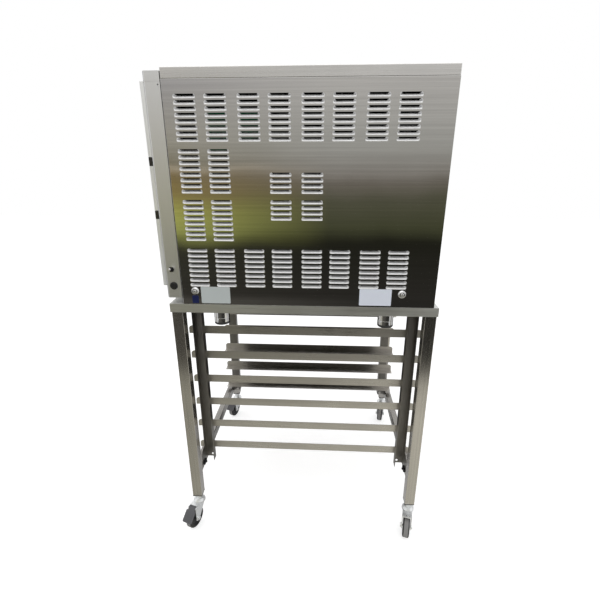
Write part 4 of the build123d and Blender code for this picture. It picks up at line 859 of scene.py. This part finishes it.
class OVEN_OT_castors(bpy.types.Operator):
    """Turn the wheels, ease the pressed forks and stems, and rib the brake pedals"""

    bl_idname = "oven.castors"
    bl_label = "Castors"

    def execute(self, context):
        centre = (36 * MM, 0, 38 * MM)
        hub = turned("hub", HUB, centre, "Y", closed=True)
        tread = turned("tread", TREAD, centre, "Y", steps=64, closed=True)
        give(hub, "wheel_black_and_painted_shade")
        give(tread, "tread_rubber", "wheel_black_and_painted_shade")
        # the tread's shoulders take the black finish: painted shade beside the crown, partly the wheel's dark
        # sides
        for face in tread.data.polygons:
            face.material_index = int(abs(face.center.y) > CROWN)
        wheel = joined("wheel", hub, tread)
        for name, (x, y, swivel) in CASTOR_PLACES.items():
            turn = (0, 0, math.radians(swivel))
            piece = settle(copied(wheel, f"castor_wheel_dished_{name}"), place(x, y, 0), turn)
            done(piece, f"wheel_{name}", None, "castor_rubber", f"castor_wheel_{name}")
            fork = dressed(f"castor_fork_{name}", f"castor_fork_pressed_{name}", 0.7 * MM)
            done(fork, f"fork_{name}", "zinc_plate", "zinc", f"castor_fork_{name}")
        bpy.data.objects.remove(wheel)
        stems = dressed("castor_stems", "castor_stems_turned", 0.7 * MM)
        done(stems, ROOT, "zinc_plate", "zinc", "castor_stems")
        for name in ("front_right", "front_left"):
            x, y, swivel = CASTOR_PLACES[name]
            pedal = dressed(f"brake_pedal_{name}", "pedal", 0.6 * MM)
            ribs = []
            for along in PEDAL_RIBS:
                low = ((along - 1) * MM, -15 * MM, 2.2 * MM)
                high = ((along + 1) * MM, 15 * MM, 3.4 * MM)
                rib = settle(block("rib", low, high, 0.4 * MM), PEDAL_TOP, (0, PEDAL_SLOPE, 0))
                ribs.append(settle(rib, place(x, y, 0), (0, 0, math.radians(swivel))))
            ribbed = joined(f"brake_pedal_ribbed_{name}", *ribs, pedal)
            done(ribbed, f"pedal_{name}", "pedal_plastic", "pedal_plastic", f"brake_pedal_{name}")
        return {"FINISHED"}


FOOT_TUBE = (
    (23.5, 815.5), (24.4, 815.5), (25, 816.1), (25, 829), (24.6, 829.7), (25, 830.4), (25, 889.4),
    (24.6, 890), (23.5, 890),
)
FOOT_PAD = (
    (0, 807.5), (22.8, 807.5), (24.3, 808.2), (25, 809.6), (25, 814.6), (24.4, 815.4), (22.9, 815.4),
    (22.9, 830), (0, 830),
)


class OVEN_OT_feet(bpy.types.Operator):
    """Turn the four polished feet and their pads"""

    bl_idname = "oven.feet"
    bl_label = "Feet"

    def execute(self, context):
        spots = [place(x, y, 0) for x in (-312, 312) for y in (-266, 266)]
        tubes = [turned("foot_tube", FOOT_TUBE, spot, closed=True) for spot in spots]
        done(joined("feet_polished", *tubes), ROOT, "polished_steel", "polished_steel", "foot_tubes")
        pads = [turned("foot_pad", FOOT_PAD, spot) for spot in spots]
        done(joined("feet_pads_moulded", *pads), ROOT, "black_plastic", "black_plastic", "foot_pads")
        return {"FINISHED"}


# Door and controls

class OVEN_OT_door(bpy.types.Operator):
    """Dress the door's skins, handle, gasket and hinges, and print the border of its glass"""

    bl_idname = "oven.door"
    bl_label = "Door"

    def execute(self, context):
        for node, name, body, finish, slot, edge in (
            ("door_frame", "door_skin", "door", "door_steel", "front_steel", 0.5 * MM),
            ("door_inner_frame", "door_back_skin", "door", "liner_steel", "liner_steel", 0.35 * MM),
            ("door_handle", "door_handle_eased", "door", "door_steel", "front_steel", 0.9 * MM),
            ("door_gasket", "door_gasket_round", "door", "seal_rubber", "seal_rubber", 2.4 * MM),
            ("door_hinge_brackets", "door_hinge_plates", ROOT, "zinc_plate", "zinc", 0.7 * MM),
        ):
            done(dressed(node, name, edge, 3), body, finish, slot, node)
        low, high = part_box("door_outer_glass")
        border = block("door_glass_border", (low.x, high.y, low.z), (high.x, high.y + 0.3 * MM, high.z))
        with editing(border):
            choose(border, "FACE", lambda middle, way: abs(way.y) > 0.9)
            bpy.ops.mesh.inset(thickness=38 * MM, depth=0)
            bpy.ops.mesh.bridge_edge_loops()
        done(border, "door", "glass_border", "seal_rubber")
        return {"FINISHED"}


KNOB = (
    (0, -41), (2.7, -41), (3, -40.6), (3, 0), (12.6, 0), (14, 0.8), (14, 3.2), (13.5, 4.0), (13.2, 20.4),
    (12.4, 22.2), (10.6, 23), (0, 23),
)
LEVER = (
    (0, -3.9), (2.2, -3.25), (3.5, -1.7), (3.9, 0), (3.4, 1.9), (1.9, 3.3), (1.6, 5), (1.75, 8),
    (2.4, 12), (3.1, 15), (3.4, 16.6), (3.2, 18.2), (2.2, 19.1), (0, 19.4),
)
BUSH = (
    (4.05, -1), (6, -1), (6, 3.1), (5.6, 3.3), (6, 3.5), (6, 3.9), (5.6, 4.1), (6, 4.3), (5.7, 5), (4.4, 5),
    (4.05, 4.7),
)
BUTTON = (
    (0, -22), (3.7, -22), (4, -21.6), (4, -10), (9.3, -10), (9.7, -9.6), (9.7, 2.7), (9.3, 3.6), (8.3, 4),
    (6.4, 3.8), (0, 3.2),
)
RIVET = ((0, 0), (1.8, 0), (1.6, 0.4), (0, 0.6))
BEZEL = ((9.95, 0), (12.2, 0), (12.2, 0.5), (11.4, 1.1), (10.4, 1.1), (9.95, 0.7))


class OVEN_OT_controls(bpy.types.Operator):
    """Model the knobs with their marks, the toggle switch and the side button"""

    bl_idname = "oven.controls"
    bl_label = "Controls"

    def execute(self, context):
        marks = []
        for name, z in (("thermostat_knob", 1309), ("timer_knob", 1155)):
            skirt = turned("skirt", KNOB, place(300, -418, z), "-Y", steps=64)
            grip = block("grip", place(294.3, -453, z - 12.6), place(305.7, -440, z + 12.6), 1.8 * MM, 4)
            pointer = block("pointer", place(299.3, -453.15, z + 2), place(300.7, -452.4, z + 11), 0.2 * MM)
            for part, finish in ((skirt, "knob_black"), (grip, "knob_black"), (pointer, "mark_cream")):
                give(part, finish)
            done(joined(f"{name}_gripped", skirt, grip, pointer), name, None, "knob_black", name)
            for step in range(11):
                angle = math.radians(-135 + 27 * step)
                mark = block("mark", (-0.4 * MM, -0.25 * MM, 18 * MM), (0.4 * MM, 0, 21.5 * MM), 0.1 * MM)
                marks.append(settle(mark, place(300, -417, z), (0, angle, 0)))
        done(joined("dial_marks", *marks), ROOT, "black_fixing", "black_plastic")
        wall = PANEL_BOX[1].x
        switches = dressed("switch_bodies", "switch_bodies_moulded", 0)
        with editing(switches):
            bpy.ops.mesh.bisect(plane_co=(wall - 0.6 * MM, 0, 0), plane_no=(1, 0, 0),
                                clear_outer=True, use_fill=True)
        eased(switches, 0.4 * MM)
        done(switches, ROOT, "black_plastic", "black_plastic", "switch_bodies")
        spot = place(CASING_SIDE, -396, 1000)
        bush = turned("bush", BUSH, spot, "X", closed=True)
        bpy.ops.object.select_all(action="DESELECT")
        bpy.ops.mesh.primitive_cylinder_add(vertices=6, radius=8.4 * MM, depth=2.4 * MM)
        nut = active()
        with editing(nut):
            choose(nut, "FACE", lambda middle, way: abs(way.z) > 0.9)
            bpy.ops.mesh.inset(thickness=1.9 * MM, depth=0)
            bpy.ops.mesh.bridge_edge_loops()
        eased(nut, 0.4 * MM)
        settle(nut, spot + Vector((1.25 * MM, 0, 0)), TURNS["X"])
        done(joined("toggle_bush", bush, nut), ROOT, "dark_nickel", "polished_steel")
        lever = lathe("toggle_lever_turned", [(radius * MM, height * MM) for radius, height in LEVER], 32)
        settle(lever, place(366.3, -396, 1000), (0, math.radians(77), 0))
        done(lever, "toggle", "polished_steel", "polished_steel", "toggle_lever")
        spot = place(CASING_SIDE, -394, 948.5)
        button = turned("side_button_dished", BUTTON, spot, "X", steps=64)
        done(button, "button", "knob_black", "knob_black", "side_button")
        bezel = turned("side_button_bezel", BEZEL, spot, "X", steps=64, closed=True)
        done(bezel, ROOT, "black_plastic", "black_plastic")
        rivet = turned("side_rivet", RIVET, place(CASING_SIDE, -378, 1498), "X", 20)
        done(rivet, ROOT, "black_fixing", "black_fixing")
        return {"FINISHED"}


# Vent, gland and the nodes that keep their CAD shape

VENT = (
    (18.5, 1469), (30, 1469), (30, 1471), (20, 1471), (20, 1537.8), (30, 1537.8), (30, 1540.3), (29.3, 1541),
    (20.8, 1541), (20, 1541.8), (20, 1588.3), (19.6, 1589), (18.9, 1589), (18.5, 1588.3),
)
GLAND = (
    (7, -7.2), (16, -7.2), (16, -1.2), (12, -1.2), (12, 0), (15.2, 0), (16, 0.8), (16, 6), (15.2, 6.8),
    (14.2, 7.2), (14.2, 12.2), (13.2, 14.6), (11, 16), (8, 16), (7, 15.2),
)
CARRIED = {
    "liner_steel": ("cavity_liner", "fan_baffle", "fan_wheel", "shelf_support_left", "shelf_support_right"),
    "shelf_chrome": ("wire_shelf_1", "wire_shelf_2", "wire_shelf_3", "wire_shelf_4"),
    "door_glass": ("door_outer_glass", "door_inner_glass"), "lamp_glass": ("oven_lamp",),
    # the partition and the control board are darkened: painted shade seen through the louvres
    "insulation_wool": ("insulation",), "compartment_painted_shade": ("control_partition",),
    "motor_paint": ("fan_motor",), "element_sheath": ("heating_element",), "board_green": ("control_board",),
    "cream_plastic": ("terminal_block",), "black_plastic": ("door_catch",),
}


class OVEN_OT_inside(bpy.types.Operator):
    """Turn the vent and the gland, and finish the pieces inside the casing"""

    bl_idname = "oven.inside"
    bl_label = "Vent, gland and inside"

    def execute(self, context):
        vent = turned("vent_pipe_rolled", VENT, place(-240, 250, 0), closed=True)
        done(vent, ROOT, "polished_steel", "liner_steel", "vent_pipe")
        gland = turned("cable_gland_moulded", GLAND, place(300.5, 399, 940), "Y", closed=True)
        done(gland, ROOT, "black_plastic", "black_plastic", "cable_gland")
        for finish, nodes in CARRIED.items():
            for slot in [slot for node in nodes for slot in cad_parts[node].material_slots]:
                slot.link = "OBJECT"
                slot.material = bpy.data.materials[finish]
        return {"FINISHED"}


# Studio

CAMERA_SPOT = (1480.5, 57.1, 1293.7)
CAMERA_YAW = -0.0512
CAMERA_PITCH = 0.3275
ROOM = (  # height on the card in metres, and its light
    (0.00, (0.035, 0.033, 0.029)), (0.60, (0.02, 0.02, 0.014)), (0.73, (0.08, 0.085, 0.045)),
    (1.00, (0.12, 0.12, 0.08)), (1.16, (0.21, 0.19, 0.16)), (1.24, (0.34, 0.32, 0.29)),
    (1.45, (0.48, 0.48, 0.45)), (2.00, (0.66, 0.65, 0.63)),
)
WARM_END = (  # the same towards the door's side
    (0.00, (0.045, 0.042, 0.036)), (0.52, (0.05, 0.05, 0.035)), (0.70, (0.50, 0.53, 0.15)),
    (0.85, (0.54, 0.55, 0.14)), (1.05, (0.39, 0.30, 0.11)), (1.262, (0.26, 0.19, 0.08)),
    (1.278, (0.85, 0.74, 0.56)), (1.288, (0.85, 0.74, 0.56)), (1.304, (0.27, 0.24, 0.16)),
    (1.50, (0.45, 0.43, 0.36)), (2.00, (0.50, 0.49, 0.49)),
)
CARD_TOP = 2.3
LENS = {
    "sensor_width": 36.0, "lens": 23.157, "shift_x": -0.00348, "shift_y": -0.00305, "clip_start": 0.02,
    "clip_end": 60.0,
}
LAMPS = (  # name, place, target, width, power, and whether shiny surfaces show it
    ("overhead_lamp", (0.3, 0.0, 3.3), (0.0, 0.0, 0.8), 3.0, 22.0, True),
    ("side_lamp", (3.2, 0.3, 1.9), (0.0, 0.0, 0.8), 2.0, 14.0, False),
    ("front_lamp", (-0.4, -3.4, 1.8), (0.0, 0.0, 0.9), 2.0, 12.0, False),
)


def bare_tree(owner):
    """A material's or the world's node tree, emptied."""
    owner.use_nodes = True
    owner.node_tree.nodes.clear()
    return owner.node_tree


def glow(name):
    """A material that only shines, and its emission node."""
    material = bpy.data.materials.new(name)
    tree = bare_tree(material)
    light = add(tree, "Emission")
    output = add(tree, "OutputMaterial")
    tree.links.new(light.outputs["Emission"], output.inputs["Surface"])
    return material, tree, light


def ramp_of(tree, share, steps):
    """A colour ramp up the card."""
    node = add(tree, "ValToRGB", {"Fac": share})
    stops = node.color_ramp.elements
    stops.remove(stops[-1])
    for number, (height, colour) in enumerate(steps):
        stop = stops[0] if number == 0 else stops.new(height / CARD_TOP)
        stop.position = height / CARD_TOP
        stop.color = (*colour, 1.0)
    return node.outputs["Color"]


def seen_in_gloss_only(piece):
    """A stage piece that only shiny surfaces see."""
    for way in ("visible_camera", "visible_diffuse", "visible_shadow", "visible_transmission"):
        setattr(piece, way, False)


def flat(name, low, high, finish):
    """A flat stage piece between two corners that share one coordinate."""
    span = Vector(high) - Vector(low)
    centre = (Vector(low) + Vector(high)) / 2
    if span.z:
        piece = plane(name, span.z, span.y, centre, TURNS["-X"])
    else:
        piece = plane(name, span.x, span.y, centre)
    piece.data.materials.append(finish)
    return piece


def lamp(name, spot, target, span, power, gloss):
    """A soft square lamp that faces a point."""
    data = bpy.data.lights.new(name, "AREA")
    data.energy = power
    data.size = span
    item = bpy.data.objects.new(name, data)
    bpy.context.scene.collection.objects.link(item)
    item.location = spot
    item.rotation_mode = "QUATERNION"
    item.rotation_quaternion = (Vector(target) - Vector(spot)).to_track_quat("-Z", "Y")
    item.visible_glossy = gloss


class OVEN_OT_stage(bpy.types.Operator):
    """Set up the camera, the floor, the lamps and the card that the side panel mirrors"""

    bl_idname = "oven.stage"
    bl_label = "Stage"

    def execute(self, context):
        scene = context.scene
        scene.view_settings.view_transform = "Standard"
        lens = bpy.data.cameras.new("photo_camera")
        camera = bpy.data.objects.new("photo_camera", lens)
        scene.collection.objects.link(camera)
        for key, value in LENS.items():
            setattr(lens, key, value)
        level = math.cos(CAMERA_PITCH)
        ahead = Vector((-math.cos(CAMERA_YAW) * level, math.sin(CAMERA_YAW) * level, -math.sin(CAMERA_PITCH)))
        right = ahead.cross(Vector((0, 0, 1))).normalized()
        up = right.cross(ahead)
        camera.location = place(*CAMERA_SPOT)
        camera.rotation_mode = "QUATERNION"
        camera.rotation_quaternion = Matrix((right, up, -ahead)).transposed().to_quaternion()
        scene.camera = camera

        world = bpy.data.worlds.new("studio")
        scene.world = world
        tree = bare_tree(world)
        path = add(tree, "LightPath")
        seen = maths(tree, "MAXIMUM", path.outputs["Is Camera Ray"], path.outputs["Is Glossy Ray"])
        seen = maths(tree, "MAXIMUM", seen, path.outputs["Is Transmission Ray"])
        strength = spread(tree, seen, 0.6, 1.0, 0.0, 1.0)
        sky = add(tree, "Background", {"Color": (1, 1, 1, 1), "Strength": strength})
        output = add(tree, "OutputWorld")
        tree.links.new(sky.outputs["Background"], output.inputs["Surface"])

        floor = bpy.data.materials.new("studio_floor")
        tree = bare_tree(floor)
        path = add(tree, "LightPath")
        point = point_of(tree)
        cloud = spread(tree, noise(tree, point, 1.5, 2.0), 0.0, 1.0)
        pale = blend_of(tree, cloud, (0.82, 0.82, 0.82, 1), (0.80, 0.80, 0.80, 1))
        matt = add(tree, "BsdfDiffuse", {"Color": pale})
        lift = maths(tree, "MULTIPLY", path.outputs["Is Camera Ray"], 0.6)
        light = add(tree, "Emission", {"Color": (1, 1, 1, 1), "Strength": lift})
        both = add(tree, "AddShader")
        tree.links.new(matt.outputs["BSDF"], both.inputs[0])
        tree.links.new(light.outputs["Emission"], both.inputs[1])
        output = add(tree, "OutputMaterial")
        tree.links.new(both.outputs["Shader"], output.inputs["Surface"])
        flat("studio_floor", (-9, -9, 0), (9, 9, 0), floor)

        finish, tree, light = glow("studio_card")
        point = point_of(tree)
        swell = spread(tree, noise(tree, point, 1.3, 2.0), -0.03, 0.03)
        axes = add(tree, "SeparateXYZ", {"Vector": point})
        share = maths(tree, "DIVIDE", maths(tree, "ADD", axes.outputs["Z"], swell), CARD_TOP)
        end = spread(tree, axes.outputs["Y"], 0.0, 1.0, 0.15, -1.5)
        shine = blend_of(tree, end, ramp_of(tree, share, ROOM), ramp_of(tree, share, WARM_END))
        tree.links.new(shine, light.inputs["Color"])
        seen_in_gloss_only(flat("studio_card", (3.0, -3.4, 0), (3.0, 2.6, CARD_TOP), finish))
        finish, tree, light = glow("studio_shade")
        point = point_of(tree)
        axes = add(tree, "SeparateXYZ", {"Vector": point})
        along = spread(tree, axes.outputs["Y"], 0.0, 1.0, -0.7, 0.7)
        near = blend_of(tree, along, (0.40, 0.39, 0.33, 1), (0.72, 0.70, 0.62, 1))
        beyond = blend_of(tree, along, (0.09, 0.085, 0.075, 1), (0.03, 0.029, 0.026, 1))
        edge = spread(tree, axes.outputs["X"], 0.0, 1.0, 1.42, 1.50)
        tree.links.new(blend_of(tree, edge, near, beyond), light.inputs["Color"])
        seen_in_gloss_only(flat("studio_shade", (0.37, -1.9, 0.002), (3.0, 1.9, 0.002), finish))

        # a dark plane inside the stand that only shiny surfaces see: painted shade for the racks' steel to
        # mirror
        finish, tree, light = glow("studio_painted_shade_card")
        point = point_of(tree)
        dim = blend_of(tree, noise(tree, point, 6.0), (0.012, 0.012, 0.01, 1), (0.04, 0.038, 0.034, 1))
        tree.links.new(dim, light.inputs["Color"])
        seen_in_gloss_only(flat("studio_painted_shade_card", place(-100, -350, 100), place(-100, 350, 850), finish))

        for row in LAMPS:
            lamp(*row)
        return {"FINISHED"}


class OVEN_PT_pieces(bpy.types.Panel):
    """The oven's settings and the operators that make its pieces"""

    bl_idname = "OVEN_PT_pieces"
    bl_label = "Convection oven"
    bl_space_type = "VIEW_3D"
    bl_region_type = "UI"
    bl_category = "Oven"

    def draw(self, context):
        for group in (context.scene.oven_sizes, context.scene.oven_colours):
            for name in group.__annotations__:
                self.layout.prop(group, name)
        for step in STEPS:
            self.layout.operator(step.bl_idname)


STEPS = [
    OVEN_OT_finishes, OVEN_OT_louvred_side, OVEN_OT_casing, OVEN_OT_fittings, OVEN_OT_stand, OVEN_OT_castors,
    OVEN_OT_feet, OVEN_OT_door, OVEN_OT_controls, OVEN_OT_inside, OVEN_OT_stage,
]
CLASSES = [OvenSizes, OvenColours, *STEPS, OVEN_PT_pieces]


def register():
    """Register the classes and the scene's settings."""
    for item in CLASSES:
        bpy.utils.register_class(item)
    bpy.types.Scene.oven_sizes = bpy.props.PointerProperty(type=OvenSizes)
    bpy.types.Scene.oven_colours = bpy.props.PointerProperty(type=OvenColours)


def unregister():
    """Take the settings and the classes out again."""
    del bpy.types.Scene.oven_colours
    del bpy.types.Scene.oven_sizes
    for item in reversed(CLASSES):
        bpy.utils.unregister_class(item)


def main():
    """Make every piece and the stage."""
    register()
    for step in STEPS:
        getattr(bpy.ops.oven, step.bl_idname.split(".")[1])()


if __name__ == "__main__":
    main()
